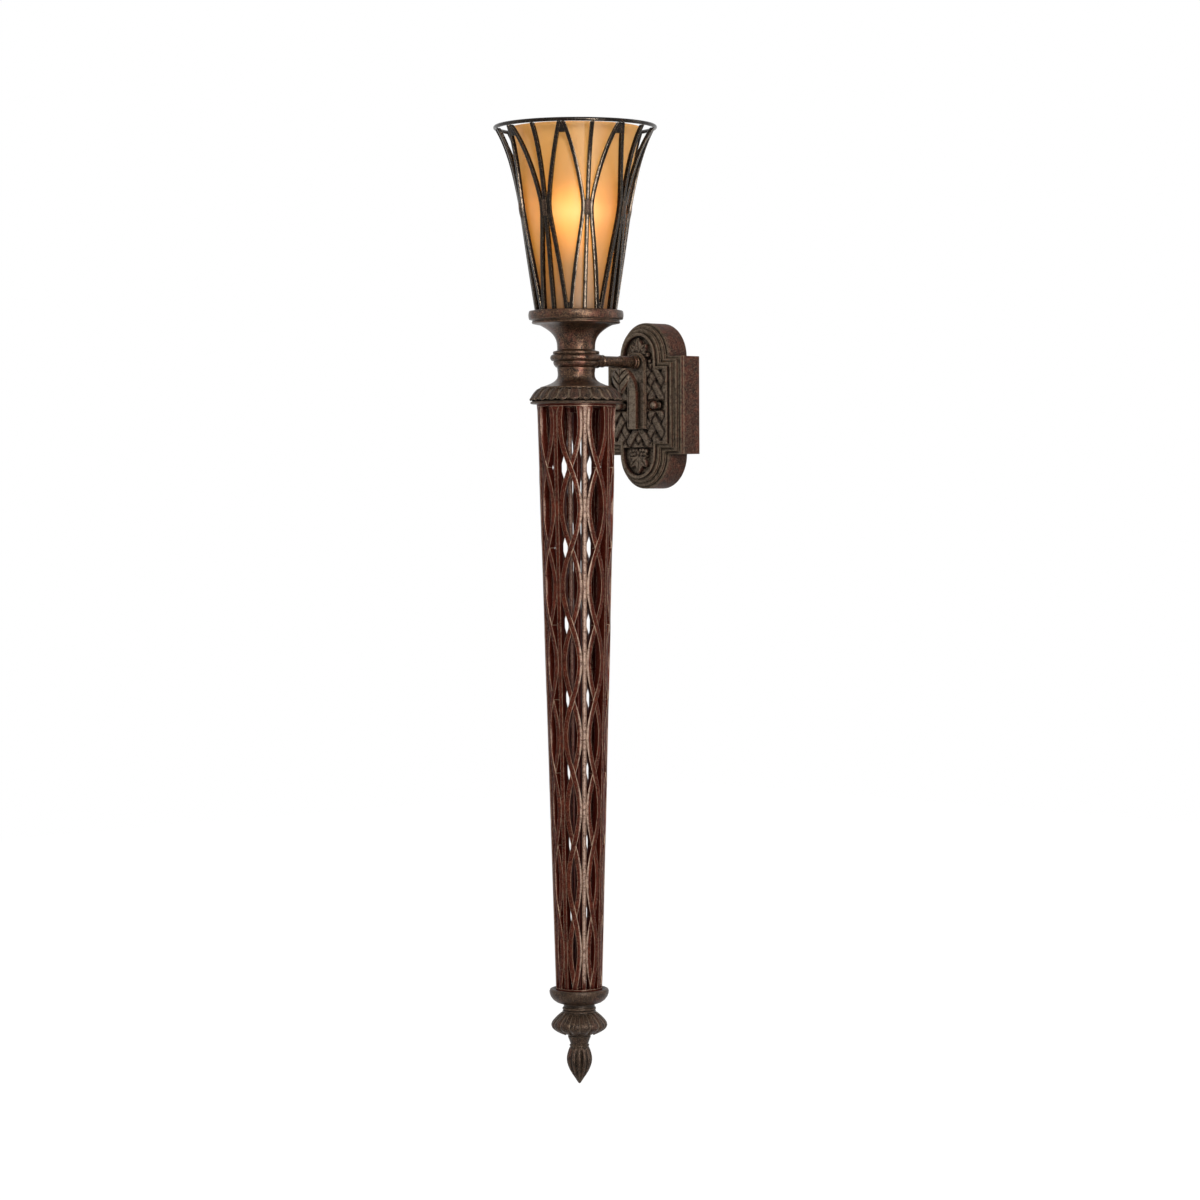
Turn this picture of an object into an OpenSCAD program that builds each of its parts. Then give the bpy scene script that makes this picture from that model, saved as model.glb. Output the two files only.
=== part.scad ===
// Torch sconce: a tall lattice torch with a caged amber glass, held off the wall by an arm on a carved plate.
// Millimetres, +Z up. The origin is the centre of the wall plate, on the wall, and the torch stands out along -Y.

/* [Wall plate] */
// Width of the box
plate_w = 115; // [112:1:122]
// Height of the box between its round lobes
plate_h = 108; // [104:1:114]
// Radius of the lobes above and below the box
lobe_r = 38; // [37:0.5:41]
// Depth of the box, from the wall to its first step
box_depth = 29; // [28:0.5:30]
// Wall thickness of the casting
cast_wall = 2.4; // [2:0.1:3]

/* [Wall fixing] */
// Distance between the middles of the two wall slots
slot_spacing = 80; // [78:1:82]
// Length of each wall slot, end to end
slot_length = 12; // [8:1:13]
// Radius of the round ends of a wall slot
slot_r = 2.5; // [2:0.1:3]
// Distance between the two ball nuts
stud_spacing = 56; // [54:1:58]
// Radius of the ball nuts
ball_r = 4.6; // [4.4:0.1:4.8]

/* [Arm] */
// Height of the arm above the middle of the plate
arm_z = 48; // [47:0.5:49]
// Radius of the arm tube
arm_r = 5.9; // [5.6:0.1:6.2]
// Distance from the wall to the axis of the torch
reach = 132.5; // [128:0.5:145]

/* [Shade cage] */
// Number of upright bars in the cage, and in the column below
sectors = 8; // [7:1:9]
// Turn of the bars about the torch's axis, in degrees
pattern_turn = 14.4; // [0:0.1:45]
// Outer radius of the ring at the top
rim_r = 89.4; // [86:0.1:93]
// Height of the middle of that ring
rim_z = 301.1; // [296:0.1:306]
// Outer radius of the bars where they leave the cup
cage_foot_r = 45.6; // [45.2:0.1:46]
// Width of a cage bar
cage_bar_w = 4.4; // [3.6:0.1:4.8]
// Depth of a cage bar
cage_bar_d = 4.5; // [4:0.1:4.8]

/* [Column] */
// Length of the lattice
column_len = 636; // [600:1:660]
// Outer radius at the top
column_top_r = 43.3; // [42:0.1:45]
// Outer radius at the bottom
column_end_r = 25.6; // [25:0.1:27]
// Width of the straight ribs
rib_w = 4.4; // [3.8:0.1:4.8]
// Width of the wavy bars
wave_w = 5.6; // [5:0.1:6]
// Depth of the ribs and bars, towards the axis
lattice_d = 8; // [6:0.1:9]

/* [Lamp] */
// Radius of the bulb
bulb_r = 30; // [24:0.5:31]
// Height of the bulb's top
bulb_top_z = 240; // [236:1:242]
// Wall thickness of the glass
glass_wall = 3; // [2.5:0.1:3.5]

/* [Hidden] */
$fn = 64;

// Finishes, as the photo shows them.
bronze = "#4a3830";
bronze_light = "#6b5444";
plate_brown = "#5a4038";
iron = "#2a1c16";
maroon = "#5a3228";
steel = "#b4b6b8";
brass = "#b8963e";

fit = 0.05;              // clearance of a pin or thread in its hole
seam = 0.1;              // gap between bars that only lie side by side

// Wall plate: insets of the outline and depths from the wall, step by step.
step_inset = [0, 3.5, 7.5, 11.5];
step_depth = [box_depth, 33, 37, 40];
panel_inset = 14.5;
panel_depth = 36;
panel_wall = 3;
panel_back = panel_depth - panel_wall;

strap_t = 2.5;
strap_w = 104;
strap_h = 20;
hub_r = 27;              // round middle of the strap, which carries the terminals
cable_hole = [0, -16];
cable_hole_r = 7;
stud_x = stud_spacing / 2;
stud_r = 2;
stud_tip = 43;
earth_at = [-15, -12];
block_z = [3, 19];
block_front = 16;

plinth_front = 43;
plinth_r = 14.5;         // round top of the plinth
plinth_z = [-26, 44.5];
plinth_screw_z = [-14, 22];
scroll_w = 10.5;
scroll_t = 5;
scroll_spring_z = 13;    // the strap leaves the plinth here and sweeps forwards
scroll_end = [65, 41];   // depth and height of the top of its free end
leaf_w = 28;
leaf_t = 3.4;
leaf_z = [12, 39.5];

arm_bore = 4.3;
arm_back = 27;
arm_end_r = 20;          // the tube ends this far from the torch's axis
boss_r = 8;
boss_face = reach - 29.5;
sleeve = [51, 67];
sleeve_r = 6.6;
collar_r = 7.9;
collar_front = 49;
escutcheon_len = 11;

// Heights where the pieces of the torch meet.
cup_foot_z = 59.6;
cup_floor_z = 93;
cup_top_z = 102.3;
knuckle_foot_z = 40;
neck_foot_z = 18;
crown_foot_z = 0.5;
plate_t = 3;
column_z = crown_foot_z - plate_t;
column_end_z = column_z - column_len;
bead_top_z = column_end_z - plate_t;
bead_foot_z = bead_top_z - 21.5;
leaf_foot_z = bead_foot_z - 29.1;
bud_top_z = leaf_foot_z - 0.15;
bud_len = 52.5;

crown_leaves = 24;
ring_petals = 16;
bud_flutes = 12;

thread_r = 5;            // hollow nipple under the lamp holder
nipple_bore = 3.6;
stud_m8 = 4;
stud_m6 = 3;
rod_end_z = column_end_z + 8;
knuckle_room = [44, 53, 13];

gallery_z = [cup_floor_z, 94.5];
gallery_r = 46.9;
cup_recess_r = 47.2;
nut_top_z = 98.5;
cage_z = [99, rim_z - 2.125];
gasket_top_z = 95.5;
glass_top_z = rim_z - 0.6;
lens_mid = 0.555;        // share of the bars' height at which the lenses are widest
lens_round = 0.12;       // how softly they turn there: 0 is a sharp corner

holder_r = 19.8;
holder_cap_top_z = 118;
holder_floor_z = 126;
holder_top_z = 156;
tip_z = 130;
cap_r = 13;
cap_z = [132.5, 157.5];
bulb_mid_z = bulb_top_z - bulb_r;

turn = pattern_turn - 90;            // so that 0 points a bar straight at the room
sector = 360 / sectors;

// Outer radius of the cage at height z: a straight cone that turns out like a bell below the rim.
function cage_r(z) =
    let (u = (z - cage_z[0]) / (rim_z - cage_z[0]),
         cone = cage_foot_r + 0.148 * (z - 104.4),
         bell = rim_r - 0.4 - (cage_foot_r + 0.148 * (rim_z - 104.4)))
    cone + bell * pow(max(u, 0), 6.8);

// Outer radius of the glass at height z: the same cone, with a softer turn at its lip.
function glass_r(z) =
    let (u = (z - gasket_top_z) / (glass_top_z - gasket_top_z))
    cage_foot_r - 5.6 + 0.141 * (z - 103) + 4.4 * pow(max(u, 0), 8);

// Outer radius of the column at height z.
function column_r(z) =
    column_top_r + (column_end_r - column_top_r) * (column_z - z) / column_len;

// Which crossing of the wavy bars height z is at: whole numbers are crossings, and the last is just above the foot.
// The lenses shorten gently down the column.
crossings = 7.04;
lead = 0.68;
function crossing(z) =
    (crossings + lead) * pow(max(column_z - z, 0) / column_len, 1 / 0.93) - lead;

function arc(centre, r, from, to, n = 8) =
    [for (i = [0:n]) let (a = from + (to - from) * i / n) centre + r * [cos(a), sin(a)]];

// A curve whose radius grows slowly at first and then fast: a cove or a flare.
function flare(z0, z1, r0, r1, power, n = 8) =
    [for (i = [0:n]) [r0 + (r1 - r0) * pow(i / n, power), z0 + (z1 - z0) * i / n]];

function reversed(list) = [for (i = [len(list) - 1:-1:0]) list[i]];
function degrees_of(length, r) = length / r * 180 / PI;

// Extrudes an outline in X and Z forwards, from one distance from the wall to another.
module slab(from, to)
    translate([0, -from, 0]) rotate([90, 0, 0]) linear_extrude(to - from) children();

// A rod along Y between two distances from the wall, at [x, z].
module rod(at, r, from, to)
    translate([at[0], -from, at[1]]) rotate([90, 0, 0]) cylinder(h = to - from, r = r);

module hexagon(at, across, from, to)
    translate([at[0], -from, at[1]]) rotate([90, 0, 0]) cylinder(h = to - from, r = across / sqrt(3), $fn = 6);

module at_torch() translate([0, -reach, 0]) children();

module around() for (i = [0:sectors - 1]) rotate(turn + sector * i) children();

// A turned piece: an outline of [radius, height] points, closed down its bore.
module turned(outline, bore)
    rotate_extrude() polygon(concat([[bore, outline[0][1]]], outline, [[bore, outline[len(outline) - 1][1]]]));

module hex_nut(z0, z1, across, bore) difference() {
    translate([0, 0, z0]) cylinder(h = z1 - z0, r = across / sqrt(3), $fn = 6);
    translate([0, 0, z0 - 1]) cylinder(h = z1 - z0 + 2, r = bore);
}

// A four-sided bar through stations of [angle, outer radius, inner radius, height, width], from the bottom up.
module swept_bar(stations) {
    corners = [for (s = stations) let (half = degrees_of(s[4] / 2, s[1]))
        each [for (c = [[s[1], half], [s[1], -half], [s[2], -half], [s[2], half]])
            [c[0] * cos(s[0] + c[1]), c[0] * sin(s[0] + c[1]), s[3]]]];
    last = len(corners) - 4;
    sides = [for (i = [0:4:last - 4], j = [0:3]) let (a = i + j, b = i + (j + 1) % 4)
        each [[a, b, b + 4], [a, b + 4, a + 4]]];
    polyhedron(corners, concat([[3, 2, 1], [3, 1, 0]], sides, [[last, last + 1, last + 2], [last, last + 2, last + 3]]));
}

module plate_outline(inset) {
    square([plate_w - 2 * inset, plate_h - 2 * inset], center = true);
    for (side = [-1, 1]) translate([0, side * plate_h / 2]) circle(lobe_r - inset);
}

module slot_outline(length, r) {
    square([length - 2 * r, 2 * r], center = true);
    for (side = [-1, 1]) translate([side * (length / 2 - r), 0]) circle(r);
}

// ---- On the wall ----

module wall_strap() color(steel) difference() {
    slab(0, strap_t) {
        square([strap_w, strap_h], center = true);
        circle(hub_r);
    }
    for (side = [-1, 1]) {
        slab(-1, strap_t + 1) translate([side * slot_spacing / 2, 0]) slot_outline(slot_length, slot_r);
        rod([side * stud_x, 0], stud_r + fit, -1, strap_t + 1);
    }
    rod(cable_hole, cable_hole_r, -1, strap_t + 1);
    rod(earth_at, 1.75 + fit, -1, strap_t + 1);
}

module strap_studs() color(steel)
    for (side = [-1, 1]) rod([side * stud_x, 0], stud_r, 0, stud_tip);

module stud_nuts() color(steel)
    for (side = [-1, 1]) difference() {
        hexagon([side * stud_x, 0], 7, strap_t, strap_t + 3.2);
        rod([side * stud_x, 0], stud_r + fit, strap_t - 1, strap_t + 5);
    }

module earth_screw() color(brass) {
    rod(earth_at, 1.75, 0.2, strap_t);
    rod(earth_at, 3.6, strap_t, strap_t + 2.4);
}

module terminal_block() color("ivory") difference() {
    translate([-16, -block_front, block_z[0]]) cube([32, block_front - strap_t, block_z[1] - block_z[0]]);
    for (x = [-10, 0, 10]) rod([x, (block_z[0] + block_z[1]) / 2], 2.4, block_front - 6, block_front + 1);
}

module backplate() color(plate_brown) difference() {
    for (i = [0:3]) slab(0, step_depth[i]) plate_outline(step_inset[i]);
    slab(panel_depth, step_depth[3] + 1) plate_outline(panel_inset);
    slab(-1, box_depth - cast_wall) plate_outline(cast_wall);
    slab(-1, panel_back) plate_outline(panel_inset - 3);
    for (side = [-1, 1]) {
        slab(panel_depth - 1.4, panel_depth + 1) translate([side * stud_x, 0]) slot_outline(26, 5);
        rod([side * stud_x, 0], stud_r + 0.3, panel_back - 1, panel_depth);
    }
    rod([0, arm_z], arm_r + fit, panel_back - 1, panel_depth + 1);
    for (z = plinth_screw_z) rod([0, z], 1.5 + fit, panel_back - 1, panel_depth + 1);
}

// ---- Arm and scroll ----

module arm_plinth() color(plate_brown) difference() {
    slab(panel_depth, plinth_front) {
        translate([-plinth_r, plinth_z[0]]) square([2 * plinth_r, plinth_z[1] - plinth_z[0]]);
        translate([0, plinth_z[1]]) circle(plinth_r);
    }
    rod([0, arm_z], arm_r + fit, panel_depth - 1, plinth_front + 1);
    for (z = plinth_screw_z) rod([0, z], 1.5 + fit, panel_depth - 1, plinth_front - 2);
}

module plinth_screws() color(steel)
    for (z = plinth_screw_z) {
        rod([0, z], 1.5, panel_back, plinth_front - 2.2);
        rod([0, z], 3, panel_back - 2, panel_back);
    }

// A forged strap: up the plinth, then forwards in a quarter of an ellipse to the leaf that hangs on its end.
function scroll_sweep(inset, n = 12) = [for (i = [0:n]) let (a = 90 * i / n)
    [scroll_end[0] - (scroll_end[0] - plinth_front - inset) * cos(a),
     scroll_spring_z + (scroll_end[1] - scroll_spring_z - inset) * sin(a)]];

module scroll_strap() color(bronze) rotate([90, 0, -90]) linear_extrude(scroll_w, center = true)
    polygon(concat([[plinth_front, plinth_z[0]]], scroll_sweep(0), reversed(scroll_sweep(scroll_t)),
                   [[plinth_front + scroll_t, plinth_z[0]]]));

module scroll_leaf() {
    edge = [for (i = [0:10]) let (t = i / 10)
        [leaf_w / 2 * sin(180 * pow(t, 0.75)), leaf_z[1] + (leaf_z[0] - leaf_z[1]) * t]];
    mirror_edge = [for (i = [9:-1:1]) [-edge[i][0], edge[i][1]]];
    color(bronze_light) slab(scroll_end[0], scroll_end[0] + leaf_t) polygon(concat(edge, mirror_edge));
}

module arm_tube() color(bronze) difference() {
    rod([0, arm_z], arm_r, arm_back, reach - arm_end_r);
    rod([0, arm_z], arm_bore, arm_back - 1, reach - arm_end_r + 1);
}

module ring_on_arm(r, from, to) difference() {
    rod([0, arm_z], r, from, to);
    rod([0, arm_z], arm_r + fit, from - 1, to + 1);
}

module arm_sleeve() color(bronze) ring_on_arm(sleeve_r, sleeve[0], sleeve[1]);
module arm_root_collar() color(bronze_light) ring_on_arm(collar_r, plinth_front, collar_front);

module arm_escutcheon() color(bronze_light) difference() {
    translate([0, -boss_face, arm_z]) rotate([-90, 0, 0]) cylinder(h = escutcheon_len, r1 = boss_r, r2 = arm_r + 0.5);
    rod([0, arm_z], arm_r + fit, boss_face - escutcheon_len - 1, boss_face + 1);
}

module arm_lock_nut() color(steel) difference() {
    hexagon([0, arm_z], 16, panel_back - 4, panel_back);
    rod([0, arm_z], arm_r + fit, panel_back - 5, panel_back + 1);
}

// A ball nut on its stud, with a small flange that bears on the plate.
module ball_nut(side) color(bronze_light) difference() {
    floor_depth = panel_depth - 1.4;
    ball_mid = floor_depth + 3 + ball_r - 1;
    union() {
        rod([side * stud_x, 0], 4.6, floor_depth, floor_depth + 1.6);
        rod([side * stud_x, 0], 3.2, floor_depth + 1, ball_mid);
        translate([side * stud_x, -ball_mid, 0]) sphere(ball_r);
    }
    rod([side * stud_x, 0], stud_r + fit, floor_depth - 1, stud_tip + 0.5);
}

module cap_nut_left() ball_nut(-1);
module cap_nut_right() ball_nut(1);

// ---- Turned pieces of the torch ----

module knuckle() color(bronze) at_torch() difference() {
    union() {
        turned(concat([[21, knuckle_foot_z], [23.7, 42], [25, 45], [25, 47]],
                      arc([24.6, 50.75], 3.8, -60, 60), [[24.7, 55.2], [24.7, 57.4], [20.7, cup_foot_z]]), 0);
        translate([0, 0, arm_z]) rotate([-90, 0, 0]) cylinder(h = reach - boss_face, r = boss_r);
    }
    translate([0, 0, knuckle_room[1] - 1]) cylinder(h = cup_foot_z, r = thread_r + fit);
    translate([0, 0, knuckle_room[0]]) cylinder(h = knuckle_room[1] - knuckle_room[0], r = knuckle_room[2]);
    translate([0, 0, knuckle_foot_z - 1]) cylinder(h = 6, r = stud_m8 + fit);
    translate([0, 0, arm_z]) rotate([-90, 0, 0]) cylinder(h = reach, r = arm_bore);
    translate([0, arm_end_r, arm_z]) rotate([-90, 0, 0]) cylinder(h = reach, r = arm_r + fit);
}

module cup() color(bronze) at_torch() difference() {
    turned(concat([[20.7, cup_foot_z]], flare(60.2, 86.5, 20.7, 39.8, 2.8), [[44, 87.3], [48.2, 88.2], [48.2, 90.4]],
                  arc([39.5, 97], 12.5, -22, 22), [[cup_recess_r, cup_top_z]]), thread_r + fit);
    translate([0, 0, cup_floor_z]) cylinder(h = 20, r = cup_recess_r);
}

module lower_neck() color(bronze) at_torch()
    turned(concat(reversed(flare(34, neck_foot_z, 20.2, 39.5, 3)), [[20.6, 37], [21, knuckle_foot_z]]),
           stud_m8 + fit);

// The sloping collar over the column, with a row of overlapping leaves.
module crown_collar() color(bronze_light) at_torch() difference() {
    union() {
        turned([[49.5, crown_foot_z], [50.4, 2.7], [48.5, 4.4], [39, 15.2], [39.5, neck_foot_z]], 0);
        for (i = [1:crown_leaves]) rotate(360 * i / crown_leaves) translate([46.9, 0, 5.2]) rotate([0, -42, 0])
            cylinder(h = 13.5, r1 = 4.6, r2 = 3.4, $fn = 24);
    }
    translate([0, 0, crown_foot_z - 1]) cylinder(h = neck_foot_z + 9, r = stud_m8 + fit);
    translate([0, 0, neck_foot_z]) cylinder(h = 10, r = 60);
    translate([0, 0, crown_foot_z - 10]) cylinder(h = 10, r = 60);
}

// The rod on the torch's axis: from the knuckle down through the column to the nut at its foot.
module crown_stud() color(maroon) at_torch()
    translate([0, 0, rod_end_z]) cylinder(h = knuckle_room[0] - rod_end_z, r = stud_m8);

module crown_nut() color(maroon) at_torch() hex_nut(column_z - 6.5, column_z, 13, stud_m8 + fit);

// ---- Column ----

module column_top_plate() color(maroon) at_torch() difference() {
    translate([0, 0, column_z]) cylinder(h = plate_t, r = column_top_r);
    translate([0, 0, column_z - 1]) cylinder(h = plate_t + 2, r = stud_m8 + fit);
}

// Leaning ribs that narrow towards the axis, so that the wavy bars can lie along their sides.
module column_ribs() color(maroon) at_torch() around() intersection() {
    lean = atan((column_top_r - column_end_r) / column_len);
    slim = rib_w * (column_end_r - lattice_d) / column_end_r;
    past = 5;
    translate([column_end_r, 0, column_end_z]) rotate([0, lean, 0]) translate([0, 0, -past])
        linear_extrude(column_len + 2 * past)
            polygon([[0, -rib_w / 2], [0, rib_w / 2], [-lattice_d, slim / 2], [-lattice_d, -slim / 2]]);
    translate([0, 0, column_end_z]) cylinder(h = column_len, r = column_top_r + 10);
}

// Two wavy bars a sector cross midway between the ribs and swell out to touch them, again and again.
module column_lattice() {
    steps = 34;
    color(maroon) at_torch() around() rotate(sector / 2) for (side = [-1, 1])
        swept_bar([for (i = [0:steps])
            let (z = column_end_z + column_len * i / steps,
                 r = column_r(z),
                 swell = r * sector / 2 * PI / 180 - (rib_w + wave_w) / 2 - seam,
                 reach_out = side * swell * sin(180 * crossing(z)))
            [degrees_of(reach_out, r), r - 0.2, r - lattice_d, z, wave_w]]);
}

module column_bottom_plate() color(maroon) at_torch() difference() {
    translate([0, 0, bead_top_z]) cylinder(h = plate_t, r = column_end_r);
    translate([0, 0, bead_top_z - 1]) cylinder(h = plate_t + 2, r = stud_m6 + fit);
}

module bottom_bead() color(bronze) at_torch() translate([0, 0, bead_top_z])
    turned(concat([[17.4, -21.5], [17, -16.8]], arc([23, -5.2], 9.6, -75, 60), [[25.8, 0]]), stud_m6 + fit);

// A swelling ring of drooping petals.
module leaf_ring() color(bronze_light) at_torch() translate([0, 0, bead_foot_z]) difference() {
    union() {
        turned(concat([[12, -29.1]], flare(-28, -16, 12, 26, 0.5, 4), arc([19.5, -15.5], 7.2, 0, 75, 5),
                      [[18.4, -5.5], [17.4, 0]]), 0);
        for (i = [1:ring_petals]) rotate(360 * i / ring_petals) translate([23.4, 0, -17.5]) sphere(5.6, $fn = 32);
    }
    translate([0, 0, -40]) cylinder(h = 50, r = stud_m6 + fit);
}

module finial_stud() color(steel) at_torch()
    translate([0, 0, bud_top_z - 20]) cylinder(h = rod_end_z - seam - bud_top_z + 20, r = stud_m6);

// A tall nut that joins the rod to the finial's stud.
module finial_nut() color(maroon) at_torch() difference() {
    hex_nut(column_end_z, column_end_z + 20, 13, stud_m6 + fit);
    translate([0, 0, rod_end_z - seam / 2]) cylinder(h = 20, r = stud_m8 + fit);
}

module finial_bud() color(bronze) at_torch() translate([0, 0, bud_top_z]) difference() {
    union() {
        turned(concat([[0, -bud_len]], reversed(flare(-24, -bud_len + 1, 13.7, 1.5, 1.7)),
                      arc([4.2, -22], 9.5, -5, 62, 5), [[10.5, -10.8], [10.5, 0]]), 0);
        for (i = [1:bud_flutes]) rotate(360 * i / bud_flutes) translate([9, 0, -24.5]) sphere(5, $fn = 24);
    }
    translate([0, 0, -20.5]) cylinder(h = 30, r = stud_m6 + fit);
}

// ---- Shade ----

module centre_nipple() color(brass) at_torch() difference() {
    translate([0, 0, knuckle_room[1]]) cylinder(h = 104 - knuckle_room[1], r = thread_r);
    translate([0, 0, knuckle_room[1] - 1]) cylinder(h = 60, r = nipple_bore);
}

module gallery_plate() color(steel) at_torch() difference() {
    translate([0, 0, gallery_z[0]]) cylinder(h = gallery_z[1] - gallery_z[0], r = gallery_r);
    translate([0, 0, gallery_z[0] - 1]) cylinder(h = 4, r = thread_r + fit);
}

module gallery_nut() color(brass) at_torch() hex_nut(gallery_z[1], nut_top_z, 17, thread_r + fit);

module cage_base_ring() color(iron) at_torch() difference() {
    translate([0, 0, gallery_z[1]]) cylinder(h = cage_z[0] - gallery_z[1], r = gallery_r);
    translate([0, 0, gallery_z[1] - 1]) cylinder(h = 8, r = glass_r(cage_z[0]) + 1.4);
}

module cage_uprights() {
    steps = 14;
    outer = [for (i = [0:steps]) let (z = cage_z[0] + (cage_z[1] - cage_z[0]) * pow(i / steps, 0.8)) [cage_r(z), z]];
    inner = [for (p = reversed(outer)) [p[0] - cage_bar_d, p[1]]];
    color(iron) at_torch() around() rotate([90, 0, 0]) linear_extrude(cage_bar_w, center = true)
        polygon(concat(outer, inner));
}

// Two bars a sector part at the cup, bow out to the uprights halfway up, and meet again at the rim.
module cage_lens_bars() {
    steps = 16;
    color(iron) at_torch() around() rotate(sector / 2) for (side = [-1, 1])
        swept_bar([for (i = [0:steps])
            let (t = i / steps,
                 z = cage_z[0] + (cage_z[1] - cage_z[0]) * t,
                 r = cage_r(z),
                 together = degrees_of((cage_bar_w + seam) / 2, r),
                 apart = sector / 2 - degrees_of(cage_bar_w + 4 * seam, r),
                 away = abs(t - lens_mid) / (t < lens_mid ? lens_mid : 1 - lens_mid),
                 bow = (norm([1, lens_round]) - norm([away, lens_round])) / (norm([1, lens_round]) - lens_round))
            [side * (together + (apart - together) * bow), r - 0.1, r - cage_bar_d, z, cage_bar_w]]);
}

module cage_rim() color(iron) at_torch()
    rotate_extrude($fn = 96) translate([rim_r - 2.3, rim_z]) rotate(22.5) circle(2.3, $fn = 8);

module glass_gasket() color("dimgray") at_torch() difference() {
    translate([0, 0, gallery_z[1]]) cylinder(h = gasket_top_z - gallery_z[1], r = glass_r(gasket_top_z) + 0.4);
    translate([0, 0, gallery_z[1] - 1]) cylinder(h = 3, r = glass_r(gasket_top_z) - glass_wall - 0.6);
}

module glass_diffuser() {
    steps = 14;
    outer = [for (i = [0:steps]) let (z = gasket_top_z + (glass_top_z - gasket_top_z) * pow(i / steps, 0.8))
        [glass_r(z), z]];
    inner = [for (p = reversed(outer)) [p[0] - glass_wall, p[1]]];
    color("#e0a458") at_torch() rotate_extrude($fn = 96) polygon(concat(outer, inner));
}

// ---- Lamp holder and bulb ----

module holder_cap() color("#1c1a18") at_torch() difference() {
    turned([[12, nut_top_z], [holder_r - 2, nut_top_z + 2], [holder_r, nut_top_z + 6], [holder_r, holder_cap_top_z]], 0);
    translate([0, 0, nut_top_z + 5]) cylinder(h = 40, r = holder_r - 3);
    translate([0, 0, nut_top_z - 1]) cylinder(h = 10, r = thread_r + fit);
}

module holder_body() color("#1c1a18") at_torch() difference() {
    translate([0, 0, holder_cap_top_z]) cylinder(h = holder_top_z - holder_cap_top_z, r = holder_r);
    translate([0, 0, holder_floor_z]) cylinder(h = 40, r = cap_r + 1 + fit);
    for (side = [-1, 1]) translate([side * 1.5, 0, holder_cap_top_z - 1]) cylinder(h = 20, r = 1 + fit);
}

module screw_shell() color(brass) at_torch() difference() {
    translate([0, 0, holder_floor_z]) cylinder(h = 28, r = cap_r + 1);
    translate([0, 0, holder_floor_z + 1]) cylinder(h = 30, r = cap_r + fit);
    translate([0, 0, holder_floor_z - 1]) cylinder(h = 5, r = 6);
}

module centre_contact() color(brass) at_torch()
    translate([0, 0, holder_floor_z]) cylinder(h = tip_z - holder_floor_z - 0.1, r1 = 4.5, r2 = 3);

module bulb_cap() color(steel) at_torch()
    turned([[6, tip_z + 1], [8, cap_z[0]], [cap_r, cap_z[0] + 3], [cap_r, cap_z[1]]], 4);

module bulb_contact() color("#3a3a3c") at_torch()
    turned([[2.6, tip_z], [3.6, tip_z + 0.6], [4, tip_z + 1], [4, cap_z[0] + 2]], 0);

module bulb_glass() {
    neck = [[cap_r - 0.2, cap_z[1]], [cap_r + 0.6, cap_z[1] + 3]];
    outer = concat(neck, arc([0, bulb_mid_z], bulb_r, -48, 90, 14));
    hollow = concat([[0, bulb_top_z - 1]], reversed(arc([0, bulb_mid_z], bulb_r - 1, -48, 80, 12)),
                    [[neck[1][0] - 1, neck[1][1]], [neck[0][0] - 1, neck[0][1] + 1], [0, neck[0][1] + 1]]);
    color("#fff2d8") at_torch() rotate_extrude() difference() {
        polygon(concat([[0, cap_z[1]]], outer));
        polygon(hollow);
    }
}

// ---- Wires ----

// A wire of round section through hand-laid points of [x, distance from the wall, z].
module wire(route, r) for (i = [1:len(route) - 1]) {
    a = [route[i - 1][0], -route[i - 1][1], route[i - 1][2]];
    b = [route[i][0], -route[i][1], route[i][2]];
    v = b - a;
    translate(a) rotate([0, acos(v[2] / norm(v)), atan2(v[1], v[0])]) cylinder(h = norm(v), r = r);
    if (i < len(route) - 1) translate(b) sphere(r + 0.15);
}

module lamp_wires() color("sienna")
    for (side = [-1, 1]) wire([[side * 8, 9, block_z[1]], [side * 8, 9, 27], [side * 1.5, 22, arm_z],
                               [side * 1.5, reach, arm_z], [side * 1.5, reach, holder_floor_z]], 1);

module earth_wire() color("yellowgreen")
    wire([[-10, 9, block_z[0]], [-10, 9, -4], [-15, 9, -12], [-15, strap_t + 2.4, -12]], 1);

wall_strap();
strap_studs();
stud_nuts();
earth_screw();
terminal_block();
backplate();
arm_plinth();
plinth_screws();
scroll_strap();
scroll_leaf();
arm_tube();
arm_sleeve();
arm_root_collar();
arm_escutcheon();
arm_lock_nut();
cap_nut_left();
cap_nut_right();
knuckle();
cup();
lower_neck();
crown_collar();
crown_stud();
crown_nut();
column_top_plate();
column_ribs();
column_lattice();
column_bottom_plate();
bottom_bead();
leaf_ring();
finial_stud();
finial_nut();
finial_bud();
centre_nipple();
gallery_plate();
gallery_nut();
cage_base_ring();
cage_uprights();
cage_lens_bars();
cage_rim();
glass_gasket();
glass_diffuser();
holder_cap();
holder_body();
screw_shell();
centre_contact();
bulb_cap();
bulb_contact();
bulb_glass();
lamp_wires();
earth_wire();
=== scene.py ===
import bpy, bmesh
from contextlib import contextmanager
from math import atan2, copysign, cos, degrees, dist, exp, hypot, pi, radians, sin, sqrt, tau
from mathutils import Matrix, Vector


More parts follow.
